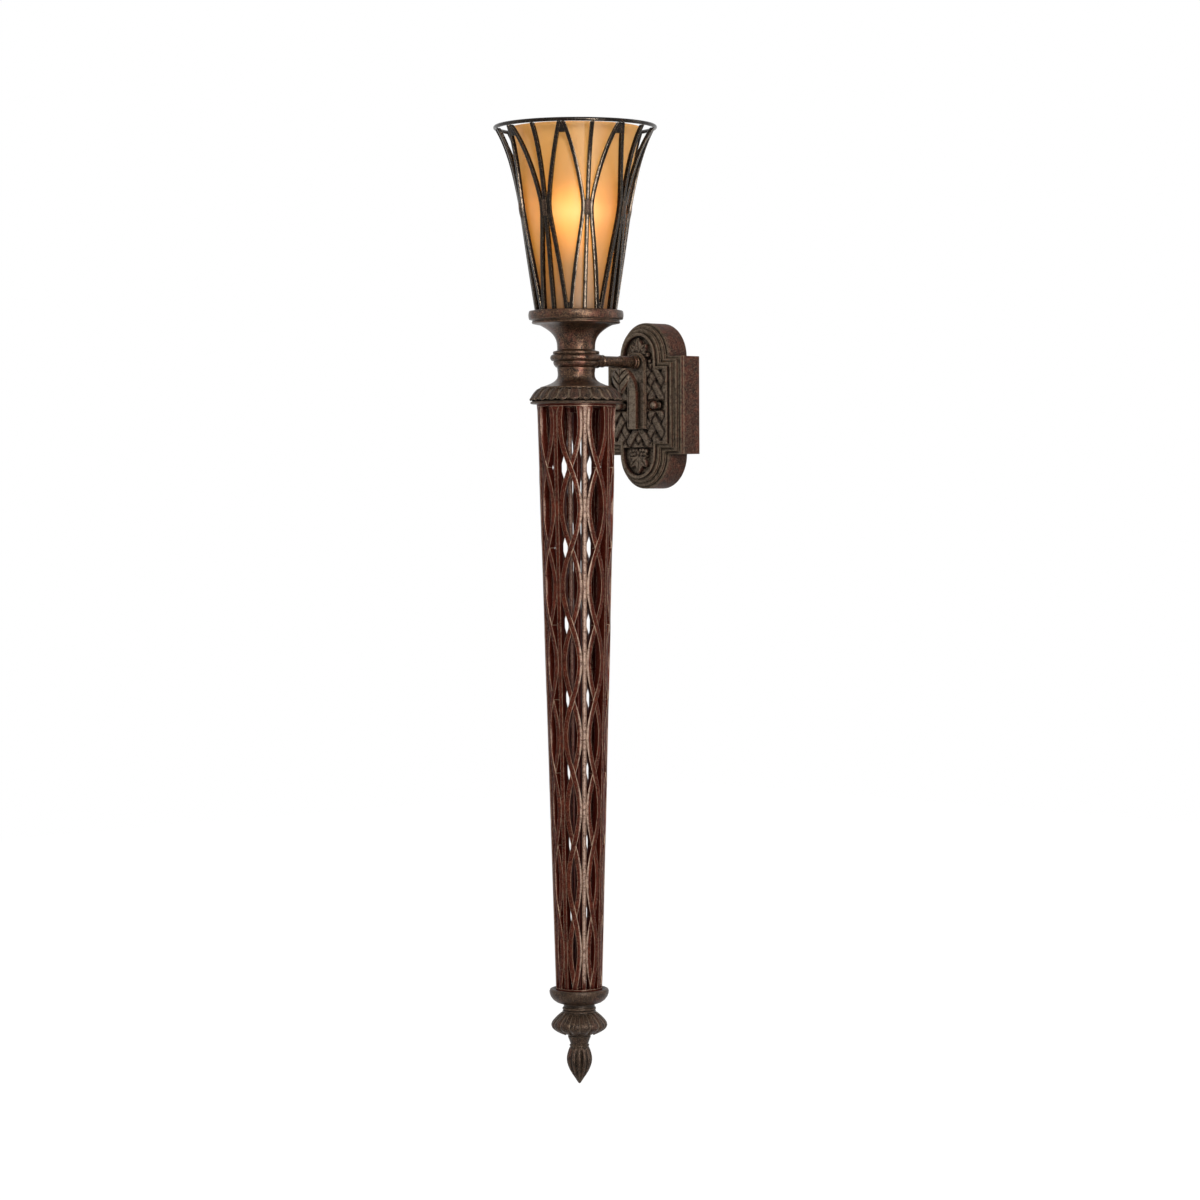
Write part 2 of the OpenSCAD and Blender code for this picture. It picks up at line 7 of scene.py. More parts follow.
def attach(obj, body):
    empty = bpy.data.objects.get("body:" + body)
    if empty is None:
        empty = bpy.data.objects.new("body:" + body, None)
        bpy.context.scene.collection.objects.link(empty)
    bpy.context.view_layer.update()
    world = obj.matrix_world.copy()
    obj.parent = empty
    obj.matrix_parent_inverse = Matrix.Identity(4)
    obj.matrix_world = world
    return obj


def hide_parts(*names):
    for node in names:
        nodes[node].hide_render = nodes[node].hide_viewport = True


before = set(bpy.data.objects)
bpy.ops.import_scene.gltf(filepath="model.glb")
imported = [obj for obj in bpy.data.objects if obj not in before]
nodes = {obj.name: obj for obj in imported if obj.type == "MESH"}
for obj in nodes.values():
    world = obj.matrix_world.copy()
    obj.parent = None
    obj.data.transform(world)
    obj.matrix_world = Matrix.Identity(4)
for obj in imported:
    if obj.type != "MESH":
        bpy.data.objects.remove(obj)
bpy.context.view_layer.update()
mm = 0.001
scene = bpy.context.scene
print("frame loaded:", len(nodes), "solids")

# The torch stands out from the wall along -Y. Sizes are in millimetres, and for the camera and the lamps in metres.
torch = {"reach": 132.5, "turn": 14.4 - 90, "sectors": 8}
axisAt = Vector((0, -torch["reach"] * mm, 0))
sector = 360 / torch["sectors"]


def evenTurns(count, past=0):
    # Angles evenly round the torch, and past the first bar by a share of the pitch.
    return [torch["turn"] + 360 / count * (k + past) for k in range(count)]


sectorTurns, middleTurns = evenTurns(torch["sectors"]), evenTurns(torch["sectors"], 0.5)


# Camera and light.

view = {"distance": 3.717, "azimuth": 47, "height": -0.1044, "aimRight": 0.3825, "down": 1.685, "roll": -0.26,
        "lens": 102, "sensor": 36}
around = radians(view["azimuth"])
cameraData = bpy.data.cameras.new("camera")
cameraData.lens, cameraData.sensor_width = view["lens"], view["sensor"]
camera = bpy.data.objects.new("camera", cameraData)
camera.matrix_world = (
    Matrix.Translation((sin(around) * view["distance"], axisAt.y - cos(around) * view["distance"],
                        view["height"]))
    @ Matrix.Rotation(around - radians(view["aimRight"]), 4, "Z")
    @ Matrix.Rotation(radians(90 - view["down"]), 4, "X")
    @ Matrix.Rotation(radians(view["roll"]), 4, "Z"))
scene.collection.objects.link(camera)
scene.camera = camera
scene.view_settings.view_transform = "Standard"

studio = {"aim": Vector((0, -0.1, -0.1)), "colour": (1, 0.95, 0.89), "lamps": {  # place, width and height, watts
    "key": ((2.4, -1.9, 1.3), 0.8, 0.8, 62),
    "strip": ((2.38, -0.91, -0.15), 0.16, 2.4, 90),
    "fill": ((-1.9, -2.4, 0.3), 0.7, 2, 8),
    "edge": ((1.5, 1.9, 0.5), 0.5, 1.8, 14),
    "low": ((1.4, -1.8, -1.3), 1.2, 1.2, 6),
}}
for name, (place, wide, tall, watts) in studio["lamps"].items():
    lamp = bpy.data.lights.new(name, "AREA")
    lamp.shape, lamp.size, lamp.size_y, lamp.energy = "RECTANGLE", wide, tall, watts
    lamp.color = studio["colour"]
    holder = bpy.data.objects.new(name, lamp)
    holder.location = place
    holder.rotation_euler = (studio["aim"] - Vector(place)).to_track_quat("-Z", "Y").to_euler()
    holder.visible_diffuse = name != "strip"  # the strip only shows as a sheen down the bars
    scene.collection.objects.link(holder)


def srgb(hexText):
    parts = [int(hexText[i:i + 2], 16) / 255 for i in (1, 3, 5)]
    return [p / 12.92 if p <= 0.04045 else ((p + 0.055) / 1.055) ** 2.4 for p in parts] + [1]


def addNode(tree, kind, values=None, links=None, stops=None, **settings):
    # Text among the values and stops is an sRGB hex colour, a number among the stops is a share, as a grey, and a
    # node among the links stands for its first output.
    node = tree.nodes.new("ShaderNode" + kind)
    for name, value in settings.items():
        setattr(node, name, value)
    for socket, value in (values or {}).items():
        node.inputs[socket].default_value = srgb(value) if isinstance(value, str) else value
    for socket, source in (links or {}).items():
        tree.links.new(getattr(source, "outputs", [source])[0], node.inputs[socket])
    if stops:
        ramp = node.color_ramp
        while len(ramp.elements) < len(stops):
            ramp.elements.new(0.5)
        for element, (place, tone) in zip(ramp.elements, stops):
            element.position = place
            element.color = srgb(tone) if isinstance(tone, str) else (tone, tone, tone, 1)
    return node


def newMaterial(name):
    material = bpy.data.materials.new(name)
    material.use_nodes = True
    material.node_tree.nodes.clear()
    return material, material.node_tree


def placeOn(tree, scale=(1000, 1000, 1000)):
    # Where on the piece a pattern is: in millimetres, or by another scale each way.
    place = addNode(tree, "TexCoord")
    return addNode(tree, "VectorMath", {1: scale}, {0: place.outputs["Object"]}, operation="MULTIPLY")


# Nearly all of a noise's values lie in here.
noiseSpan = {"From Min": 0.3, "From Max": 0.7}


def seenPlainly(tree):
    # 1 where the camera, a reflection or clear glass looks, and 0 for soft light.
    rays = addNode(tree, "LightPath")
    seen = rays.outputs["Is Camera Ray"]
    for kind in ("Is Glossy Ray", "Is Transmission Ray"):
        seen = addNode(tree, "Math", links={0: seen, 1: rays.outputs[kind]}, operation="MAXIMUM")
    return seen


# Anything but soft light on the object sees plain white all round.
world = bpy.data.worlds.new("studio")
world.use_nodes = True
scene.world = world
tree = world.node_tree
tree.nodes.clear()
soft = addNode(tree, "Background", {"Color": "#ffffff", "Strength": 0.2})
white = addNode(tree, "Background", {"Color": "#ffffff", "Strength": 1})
both = addNode(tree, "MixShader", links={0: seenPlainly(tree), 1: soft, 2: white})
addNode(tree, "OutputWorld", links={"Surface": both})


# Ways of working.

def onlySelect(*pieces):
    bpy.ops.object.select_all(action="DESELECT")
    for piece in pieces:
        piece.select_set(True)
    if pieces:
        bpy.context.view_layer.objects.active = pieces[0]


@contextmanager
def editing(piece, mode="VERT"):
    # Edit mode, with everything selected to start with.
    onlySelect(piece)
    bpy.ops.object.mode_set(mode="EDIT")
    bpy.ops.mesh.select_mode(type=mode)
    bpy.ops.mesh.select_all(action="SELECT")
    yield
    bpy.ops.object.mode_set(mode="OBJECT")


def pick(piece, kind, wanted):
    # In edit mode: selects the verts, edges or faces for which wanted() holds, and nothing else.
    mesh = bmesh.from_edit_mesh(piece.data)
    for element in getattr(mesh, kind):
        element.select = False
    for element in getattr(mesh, kind):
        if wanted(element):
            element.select = True
    mesh.select_flush_mode()
    bmesh.update_edit_mesh(piece.data)


def applied(piece, kind, **settings):
    onlySelect(piece)
    modifier = piece.modifiers.new(kind.lower(), kind)
    for name, value in settings.items():
        setattr(modifier, name, value)
    bpy.ops.object.modifier_apply(modifier=modifier.name)
    return piece


def startPiece(name, primitive, **place):
    # A primitive at its place, whose own centre is then moved to the frame's origin.
    onlySelect()
    getattr(bpy.ops.mesh, f"primitive_{primitive}_add")(**place)
    piece = bpy.context.object
    piece.name = piece.data.name = name
    bpy.ops.object.transform_apply(location=True, rotation=True, scale=True)
    return piece


def softEdges(piece, width, segments=2, angle=32):
    return applied(piece, "BEVEL", width=width * mm, segments=segments, limit_method="ANGLE",
                   angle_limit=radians(angle), harden_normals=False, use_clamp_overlap=True)


def reshape(piece, rule):
    # Moves each vertex to where rule(place) says, in millimetres.
    for vertex in piece.data.vertices:
        vertex.co = Vector(rule(vertex.co / mm)) * mm
    return piece


def facesOut(piece):
    with editing(piece):
        bpy.ops.mesh.remove_doubles(threshold=0.00002)
        bpy.ops.mesh.normals_make_consistent(inside=False)
    return piece


def joined(name, *pieces):
    onlySelect(*pieces)
    if len(pieces) > 1:
        bpy.ops.object.join()
    piece = bpy.context.object
    piece.name = piece.data.name = name
    return piece


def roundTheTorch(piece, angles):
    # Copies of one piece, each with its own mesh, turned about the torch's axis and joined.
    name, copies = piece.name, []
    for angle in angles:
        copy = piece.copy()
        copy.data = piece.data.copy()
        scene.collection.objects.link(copy)
        copy.data.transform(Matrix.Translation(axisAt) @ Matrix.Rotation(radians(angle), 4, "Z")
                            @ Matrix.Translation(-axisAt))
        copies.append(copy)
    bpy.data.objects.remove(piece)
    return joined(name, *copies)


def linePiece(name, points):
    # A line of vertices: the first is extruded on from point to point.
    piece = startPiece(name, "plane", size=mm, location=points[0])
    with editing(piece):
        bpy.ops.mesh.merge(type="CENTER")
        for here, there in zip(points, points[1:]):
            bpy.ops.mesh.extrude_region_move(TRANSFORM_OT_translate={"value": there - here})
    return piece


def turned(name, outline, steps=128, centre=axisAt, axis=(0, 0, 1)):
    # An outline of [radius, height] points, spun about the axis. It closes on itself down its bore.
    axis, out = Vector(axis), Vector((1, 0, 0))
    piece = linePiece(name, [centre + out * radius * mm + axis * height * mm for radius, height in outline])
    with editing(piece):
        bpy.ops.mesh.spin(steps=steps, angle=tau, center=centre, axis=axis)
    return facesOut(piece)


def arc(centre, radius, start, end, count=8):
    turns = [radians(start + (end - start) * i / count) for i in range(count + 1)]
    return [(centre[0] + radius * cos(t), centre[1] + radius * sin(t)) for t in turns]


def raised(outline, height):
    return [(radius, height + z) for radius, z in outline]


def cutBar(name, *parts):
    # A cube one unit each way, cut into so many lengths, and then into so many strips side by side.
    piece = startPiece(name, "cube", size=mm)
    for axis, count in zip((2, 0), parts):
        with editing(piece, "EDGE"):
            pick(piece, "edges", lambda e: abs(e.verts[0].co[axis] - e.verts[1].co[axis]) > 0.5 * mm)
            bpy.ops.mesh.subdivide(number_cuts=count - 1)
    return piece


def polar(angle, radius, height):
    a = radians(angle)
    return (radius * cos(a), -torch["reach"] + radius * sin(a), height)


def sweptBar(name, parts, station, edge):
    # station(t) gives angle, outer radius, inner radius, height and width at t along the bar.
    piece = cutBar(name, parts)

    def lay(p):
        angle, outer, inner, height, width = station(p.z + 0.5)
        half = degrees(width / 2 / outer)
        return polar(angle + 2 * p.x * half, outer if p.y > 0 else inner, height)

    return softEdges(facesOut(reshape(piece, lay)), edge, 2, 40)


def dress(piece, angle, material, node=None, body="sconce"):
    # Smoothed over edges flatter than the angle, with its finish, on its body and in place of the node.
    onlySelect(piece)
    bpy.ops.object.shade_smooth_by_angle(angle=radians(angle))
    piece.data.materials.clear()
    piece.data.materials.append(material)
    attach(piece, body)
    if node:
        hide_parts(node)


# Finishes.

def rubbedMetal(name, look):
    # Paint over cast or forged metal, rubbed back by hand: clouds, fine mottling, dirt and painted shade in hollows,
    # edges tan from wear and a painted highlight.
    material, tree = newMaterial(name)
    place, pattern, share = placeOn(tree), {}, {}
    for kind, detail, fine, swirl in (
            ("patch", 3, 0.6, 0.6), ("mottle", 5, 0.68, 0), ("speck", 2, 0.6, 0), ("dent", 4, 0.55, 0)):
        grain = {"Scale": 1 / look[kind + "Size"], "Detail": detail, "Roughness": fine, "Distortion": swirl}
        pattern[kind] = addNode(tree, "TexNoise", grain, {"Vector": place})
    for coat, kind, stops in (
            ("patch", "patch", [(look["patchFrom"], 0), (look["patchFrom"] + 0.16, 1)]),
            ("mottle", "mottle", [(0.38, look["mottle"]), (0.54, 0)]),
            ("specks", "speck", [(0.5, 0), (0.66, look["specks"])]),
            ("pits", "speck", [(0.36, look["pits"]), (0.46, 0)])):
        share[coat] = addNode(tree, "ValToRGB", links={"Fac": pattern[kind]}, stops=stops)
    # Painted shade: ambient occlusion darkens the hollows, partly as dirt and partly as the shade that falls there.
    hollow = addNode(tree, "AmbientOcclusion", {"Distance": look["dirtShadeReach"] * mm}, samples=6)
    dirtAndShade = addNode(tree, "MapRange", {"From Min": look["dirtShadeFrom"], "From Max": look["dirtShadeTo"], "To Max": look["dirtAndShade"]},
                   {"Value": hollow.outputs["AO"]})
    # Edges take the worn tan tone: partly rubbed wear, partly a painted highlight.
    straight = addNode(tree, "NewGeometry")
    rounded = addNode(tree, "Bevel", {"Radius": look["edgeReach"] * mm}, samples=4)
    turn = addNode(tree, "VectorMath", links={0: rounded, 1: straight.outputs["Normal"]}, operation="DOT_PRODUCT")
    edge = addNode(tree, "MapRange", {"From Min": 0.995, "From Max": 0.92, "To Max": look["edge"]},
                   {"Value": turn.outputs["Value"]})
    patchy = addNode(tree, "MapRange", {"From Min": 0.3, "From Max": 0.6, "To Min": 0.35},
                     {"Value": pattern["mottle"]})
    edge = addNode(tree, "Math", links={0: edge, 1: patchy}, operation="MULTIPLY")
    coats = [("dark", share["mottle"]), ("wornAndHighlight", share["specks"]), ("dark", share["pits"]),
             ("hollow", dirtAndShade), ("wornAndHighlight", edge)]
    if "face" in look:  # what is turned that way gets another tone: a painted highlight on the cage and column bars, a lighter tone on the plate
        front = addNode(tree, "VectorMath", {1: look["faceWay"]}, {0: straight.outputs["Normal"]},
                        operation="DOT_PRODUCT")
        start, end = look["faceFrom"]
        faced = addNode(tree, "MapRange", {"From Min": start, "From Max": end, "To Max": look["faceShare"]},
                        {"Value": front.outputs["Value"]})
        coats.insert(0, ("face", faced))
    colour = addNode(tree, "Mix", {6: look["base"], 7: look["patch"]}, {"Factor": share["patch"]}, data_type="RGBA")
    for tone, amount in coats:
        colour = addNode(tree, "Mix", {7: look[tone]}, {"Factor": amount, 6: colour.outputs[2]}, data_type="RGBA")
    low, high = look["rough"]
    rough = addNode(tree, "MapRange", {**noiseSpan, "To Min": low, "To Max": high}, {"Value": pattern["mottle"]})
    bump = addNode(tree, "Bump", {"Strength": look["bump"], "Distance": look["dentDepth"] * mm},
                   {"Height": pattern["dent"]})
    shader = addNode(tree, "BsdfPrincipled", {"Metallic": look["metal"], "Specular IOR Level": look["shine"]},
                     {"Base Color": colour.outputs[2], "Roughness": rough, "Normal": bump})
    addNode(tree, "OutputMaterial", links={"Surface": shader})
    return material


bronzeLook = {"base": "#3c271b", "patch": "#5a342a", "dark": "#0e0806", "wornAndHighlight": "#967a60", "hollow": "#080403",
              "patchSize": 20, "patchFrom": 0.5, "mottleSize": 5, "mottle": 0.92, "speckSize": 1.2, "specks": 0.45,
              "pits": 0.8, "dirtShadeReach": 5, "dirtShadeFrom": 0.92, "dirtShadeTo": 0.35, "dirtAndShade": 0.92, "edgeReach": 1, "edge": 0.7,
              "rough": (0.26, 0.44), "metal": 0.5, "shine": 0.2, "dentSize": 1.5, "dentDepth": 0.35, "bump": 0.6}
# Sand-cast bronze tone: dark brown clouds with dull red ones, a fine dark speckle, tan specks, tan edges that are part
# rubbed wear and part painted highlight, and dirt with painted shade in hollows.
castBronze = rubbedMetal("sandCastBronzePaint", bronzeLook)
# The same casting rubbed back further on its leaves.
rubbedBronze = rubbedMetal("rubbedLeafBronzePaint", {
    **bronzeLook, "base": "#3e2d22", "patch": "#4c3028", "dark": "#100806", "wornAndHighlight": "#98846f", "dirtAndShade": 0.98,
    "dirtShadeReach": 4, "dirtShadeFrom": 0.96, "dirtShadeTo": 0.6, "specks": 0.25, "pits": 0.5, "mottle": 0.85, "edge": 0.65,
    "rough": (0.36, 0.54), "metal": 0.3, "shine": 0.16})
# Cast wall plate: grey-olive on what faces the room, mottled red-brown down its sides, and dirt with deep painted shade
# in its hollows.
plateLook = {**bronzeLook, "base": "#3d2119", "patch": "#582e23", "dark": "#120906", "wornAndHighlight": "#a4917a",
             "hollow": "#0a0503", "face": "#7e7265", "faceWay": (0, -1, 0), "faceFrom": (0.35, 0.9), "faceShare": 0.9,
             "patchSize": 16, "patchFrom": 0.47, "mottleSize": 4, "mottle": 0.72, "specks": 0.25, "speckSize": 1,
             "dirtAndShade": 0.98, "dirtShadeFrom": 0.96, "dirtShadeTo": 0.55, "edgeReach": 0.8, "edge": 0.5, "pits": 0.75,
             "rough": (0.5, 0.7), "metal": 0.2, "shine": 0.1}
plateBronze = rubbedMetal("waxedPlateBronzePaint", plateLook)
# The forged scroll before it, waxed a shade lighter and worn smoother.
scrollBronze = rubbedMetal("waxedScrollBronzePaint", {
    **plateLook, "base": "#4a2c20", "face": "#85796b", "mottle": 0.55, "dirtShadeReach": 3.5, "edge": 0.7,
    "rough": (0.4, 0.6)})
# Forged iron bars of the cage: near black, with a grey-tan line along each edge that is part rubbed wear and part
# painted highlight, and a painted highlight on the bars turned to the front right.
forgedIron = rubbedMetal("forgedIronBlackPaint", {
    **bronzeLook, "base": "#120d0a", "patch": "#20100c", "dark": "#070403", "wornAndHighlight": "#ac9478", "face": "#7e7062",
    "faceWay": (0.852, -0.503, -0.146), "faceFrom": (0.985, 0.996), "faceShare": 0.7, "pits": 0.3, "specks": 0.1,
    "edgeReach": 0.6, "dirtAndShade": 0.3, "rough": (0.2, 0.32), "metal": 0.35, "shine": 0.16, "dentSize": 3, "bump": 0.3})
# Column bars: maroon-black lacquer, tan along every edge from rubbed wear and a painted highlight, a painted highlight
# down the rib turned to the front right, and painted shade deep inside the column.
columnIron = rubbedMetal("lacqueredIronMaroonPaint", {
    **bronzeLook, "base": "#4c170b", "patch": "#5c2212", "dark": "#280804", "wornAndHighlight": "#ccb49c", "hollow": "#400b03",
    "face": "#a08d80", "faceWay": (0.861, -0.509, 0), "faceFrom": (0.988, 0.997), "faceShare": 0.85, "specks": 0.15,
    "speckSize": 1, "mottleSize": 4, "mottle": 0.75, "edgeReach": 0.75, "edge": 1, "dirtShadeReach": 45, "dirtShadeFrom": 0.95,
    "dirtShadeTo": 0.45, "rough": (0.34, 0.5), "metal": 0.2, "shine": 0.04, "dentSize": 1.4, "bump": 0.4})


def plainFinish(name, dark, light, grain, rough, relief, metal, ior=1.5):
    # A smooth industrial surface with a faint grain in its colour, sheen and relief.
    material, tree = newMaterial(name)
    place = placeOn(tree, [1000 / size for size in grain])
    noise = addNode(tree, "TexNoise", {"Scale": 1, "Detail": 4, "Roughness": 0.6}, {"Vector": place})
    colour = addNode(tree, "ValToRGB", links={"Fac": noise}, stops=[(0.3, dark), (0.7, light)])
    sheen = addNode(tree, "MapRange", {**noiseSpan, "To Min": rough[0], "To Max": rough[1]}, {"Value": noise})
    bump = addNode(tree, "Bump", {"Strength": 0.3, "Distance": relief * mm}, {"Height": noise})
    shader = addNode(tree, "BsdfPrincipled", {"Metallic": metal, "IOR": ior},
                     {"Base Color": colour, "Roughness": sheen, "Normal": bump})
    addNode(tree, "OutputMaterial", links={"Surface": shader})
    return material


plainLooks = {  # dark and light tone, grain each way, roughness, relief, metallic, IOR
    # Zinc plate: bluish bright metal with a drawn grain.
    "zincPlatedSteel": ("#9a9ea2", "#c6c9cc", (6, 6, 0.8), (0.25, 0.42), 0.05, 1),
    # Turned brass: warm yellow with fine turning marks round its axis.
    "turnedBrass": ("#a8842e", "#cfab57", (8, 8, 0.5), (0.22, 0.38), 0.04, 1),
    # Phenolic lamp holder: black and slightly waxy.
    "mouldedPhenolic": ("#141210", "#24201c", (3, 3, 3), (0.32, 0.46), 0.08, 0, 1.6),
    # Nylon terminal block: milky and matt.
    "naturalNylon": ("#d8d4c4", "#ece8da", (2, 2, 2), (0.45, 0.6), 0.05, 0, 1.53),
    # Rubber seat of the glass: dull black with a fine grain.
    "gasketRubber": ("#1a1a1a", "#2a2a2a", (1, 1, 1), (0.7, 0.85), 0.1, 0),
    # Wire sheaths: brown, and green with drawn-out yellow streaks.
    "pvcWireBrown": ("#5a3420", "#7a4c30", (2, 2, 2), (0.4, 0.5), 0.03, 0, 1.53),
    "pvcWireGreenYellow": ("#5c8c28", "#c8c032", (5, 5, 0.9), (0.4, 0.5), 0.03, 0, 1.53),
    # Tin solder at the bulb's foot: dull grey and uneven.
    "solderTin": ("#86868a", "#a4a4a8", (1.5, 1.5, 1.5), (0.4, 0.6), 0.1, 1),
}
plain = {name: plainFinish(name, *look) for name, look in plainLooks.items()}

# Acid-matt amber glass: it blurs the bulb behind it, and its emission paints a glow that is brightest at the bulb's
# height and darker toward its foot.
amber = {"foot": 95, "top": 300, "cloudSize": 40, "cloudSquash": 0.35, "satinSize": 0.5, "satinDepth": 0.05,
         "streaks": [(0.32, "#eecb92"), (0.66, "#fff4cc")], "streakShare": 0.6, "pale": "#ffe8bc", "paleShare": 0.22,
         "rough": (0.46, 0.56), "clear": 0.45, "glow": 0.26,
         "ladder": [(0, "#6c441a"), (0.14, "#9e6a22"), (0.36, "#bb8a2c"), (0.58, "#cc963a"), (0.78, "#c49842"),
                    (1, "#c09444")]}  # from foot to top
amberGlass, tree = newMaterial("satinAmberGlass")
place = placeOn(tree)
cloudPlace = addNode(tree, "Mapping", {"Scale": (1, 1, amber["cloudSquash"])}, {"Vector": place})
clouds = addNode(tree, "TexNoise", {"Scale": 1 / amber["cloudSize"], "Detail": 3, "Roughness": 0.55, "Distortion": 0.8},
                 {"Vector": cloudPlace})
height = addNode(tree, "SeparateXYZ", links={0: place}).outputs["Z"]
up = addNode(tree, "MapRange", {"From Min": amber["foot"], "From Max": amber["top"]}, {"Value": height})
ladder = addNode(tree, "ValToRGB", links={"Fac": up}, stops=amber["ladder"])
streak = addNode(tree, "ValToRGB", links={"Fac": clouds}, stops=amber["streaks"])
colour = addNode(tree, "Mix", {"Factor": amber["streakShare"]}, {6: ladder, 7: streak}, data_type="RGBA",
                 blend_type="MULTIPLY").outputs[2]
pale = addNode(tree, "Mix", {"Factor": amber["paleShare"], 7: amber["pale"]}, {6: colour},
               data_type="RGBA").outputs[2]  # light passes both walls
satin = addNode(tree, "TexNoise", {"Scale": 1 / amber["satinSize"], "Detail": 2}, {"Vector": place})
bump = addNode(tree, "Bump", {"Strength": 0.12, "Distance": amber["satinDepth"] * mm}, {"Height": satin})
low, high = amber["rough"]
rough = addNode(tree, "MapRange", {**noiseSpan, "To Min": low, "To Max": high}, {"Value": clouds})
# Painted glow: the emission, in the ladder's colour, stands in for the bulb's light spread through the glass.
shader = addNode(tree, "BsdfPrincipled",
                 {"IOR": 1.5, "Transmission Weight": amber["clear"], "Emission Strength": amber["glow"]},
                 {"Base Color": pale, "Roughness": rough, "Normal": bump, "Emission Color": colour})
addNode(tree, "OutputMaterial", links={"Surface": shader})

# Pearl bulb, lit: warm white, hottest at its waist.
pearl = {"neck": 157, "top": 240, "grain": 4.5, "rough": (0.3, 0.45), "glow": 6.8,
         "ladder": [(0, "#80501c"), (0.4, "#f0c87c"), (0.6, "#ffffff"), (0.82, "#f0c880"), (1, "#c08c40")]}
litBulb, tree = newMaterial("litPearlBulbGlass")
place = placeOn(tree)
height = addNode(tree, "SeparateXYZ", links={0: place}).outputs["Z"]
up = addNode(tree, "MapRange", {"From Min": pearl["neck"], "From Max": pearl["top"]}, {"Value": height})
warm = addNode(tree, "ValToRGB", links={"Fac": up}, stops=pearl["ladder"])
frost = addNode(tree, "TexNoise", {"Scale": 1 / pearl["grain"], "Detail": 2}, {"Vector": place})
rough = addNode(tree, "MapRange", {"To Min": pearl["rough"][0], "To Max": pearl["rough"][1]}, {"Value": frost})
shader = addNode(tree, "BsdfPrincipled", {"IOR": 1.5, "Emission Strength": pearl["glow"]},
                 {"Base Color": warm, "Emission Color": warm, "Roughness": rough})
addNode(tree, "OutputMaterial", links={"Surface": shader})
print("finishes mixed")


# Floor: matt for soft light, near white to the eye, and clear from below.

floorLook = {"drop": -950, "size": 9000, "tones": [(0.3, "#f0f0ee"), (0.7, "#f4f4f2")], "grain": 30, "dim": "#8c8c8c",
             "glow": 0.95}
floor = startPiece("floor", "grid", size=floorLook["size"] * mm, x_subdivisions=4, y_subdivisions=4,
                   location=(0, 0, floorLook["drop"] * mm))
floorPaint, tree = newMaterial("paleFloor")
grain = addNode(tree, "TexNoise", {"Scale": floorLook["grain"]})
tone = addNode(tree, "ValToRGB", links={"Fac": grain}, stops=floorLook["tones"])
matt = addNode(tree, "BsdfDiffuse", links={"Color": tone})
dim = addNode(tree, "BsdfDiffuse", {"Color": floorLook["dim"]})
glow = addNode(tree, "Emission", {"Color": "#ffffff", "Strength": floorLook["glow"]})
lit = addNode(tree, "AddShader", links={0: dim, 1: glow})
shown = addNode(tree, "MixShader", links={0: seenPlainly(tree), 1: matt, 2: lit})
side = addNode(tree, "NewGeometry")
clear = addNode(tree, "BsdfTransparent")
oneSided = addNode(tree, "MixShader", links={0: side.outputs["Backfacing"], 1: shown, 2: clear})
addNode(tree, "OutputMaterial", links={"Surface": oneSided})
floor.data.materials.append(floorPaint)


# Shade cage: uprights, lens bars, weld bindings and rim.

cage = {"foot": 99, "top": 298.975, "footRadius": 45.6, "rimRadius": 89.4, "rimHeight": 301.1, "rod": (87.1, 2.1),
        "slope": 0.148, "slopeFrom": 104.4, "bell": 6.8, "barWidth": 4.4, "barDepth": 4.5, "middle": 0.555,
        "roundness": 0.12, "gap": 0.1, "bindTall": 17, "bindWide": 6.4, "bindProud": 1, "webTall": (0.05, 0.055),
        "webSunk": (0.5, 0.4), "webLap": 1.4}


def cageRadius(z):
    u = max((z - cage["foot"]) / (cage["rimHeight"] - cage["foot"]), 0)
    cone = cage["footRadius"] + cage["slope"] * (z - cage["slopeFrom"])
    flared = cage["rimRadius"] - 0.4 - (cage["footRadius"] + cage["slope"] * (cage["rimHeight"] - cage["slopeFrom"]))
    return cone + flared * u ** cage["bell"]


def cageHeight(t):
    return cage["foot"] + (cage["top"] - cage["foot"]) * t


def lensAngle(t):
    radius = cageRadius(cageHeight(t))
    together = degrees((cage["barWidth"] + cage["gap"]) / 2 / radius)
    apart = sector / 2 - degrees((cage["barWidth"] + 4 * cage["gap"]) / radius)
    away = abs(t - cage["middle"]) / (cage["middle"] if t < cage["middle"] else 1 - cage["middle"])
    r = cage["roundness"]
    bow = (hypot(1, r) - hypot(away, r)) / (hypot(1, r) - r)
    return together + (apart - together) * bow


def barStation(t, side=0):
    # An upright, or the lens bar to one side of a sector's middle, which stands a hair further in.
    radius = cageRadius(cageHeight(t))
    front = radius - abs(side) * cage["gap"]
    return side * lensAngle(t), front, radius - cage["barDepth"], cageHeight(t), cage["barWidth"]


upright = sweptBar("cageUprights", 48, barStation, 0.6)
dress(roundTheTorch(upright, sectorTurns), 38, forgedIron, "cage_uprights")

lensBars = [roundTheTorch(sweptBar("cageLensBars", 56, lambda t: barStation(t, side), 0.6), middleTurns)
            for side in (1, -1)]
dress(joined("cageLensBars", *lensBars), 38, forgedIron, "cage_lens_bars")

rim = startPiece("cageRim", "torus", major_radius=cage["rod"][0] * mm, minor_radius=cage["rod"][1] * mm,
                 major_segments=144, minor_segments=16, location=axisAt + Vector((0, 0, cage["rimHeight"] * mm)))
dress(rim, 38, forgedIron, "cage_rim")

# A weld fills the corner where two lens bars run together, at the cup and under the rim.
webs = []
for start, end in ((0.003, cage["webTall"][0]), (1 - cage["webTall"][1], 0.999)):
    def webStation(t):
        share = start + (end - start) * t
        radius = cageRadius(cageHeight(share))
        between = 2 * radians(lensAngle(share)) * radius - cage["barWidth"]
        front, behind = cage["webSunk"]
        return (0, radius - front, radius - cage["barDepth"] + behind, cageHeight(share), between + cage["webLap"])
    webs.append(roundTheTorch(sweptBar("cageWelds", 8, webStation, 0.3), middleTurns))
dress(joined("cageWelds", *webs), 38, forgedIron)


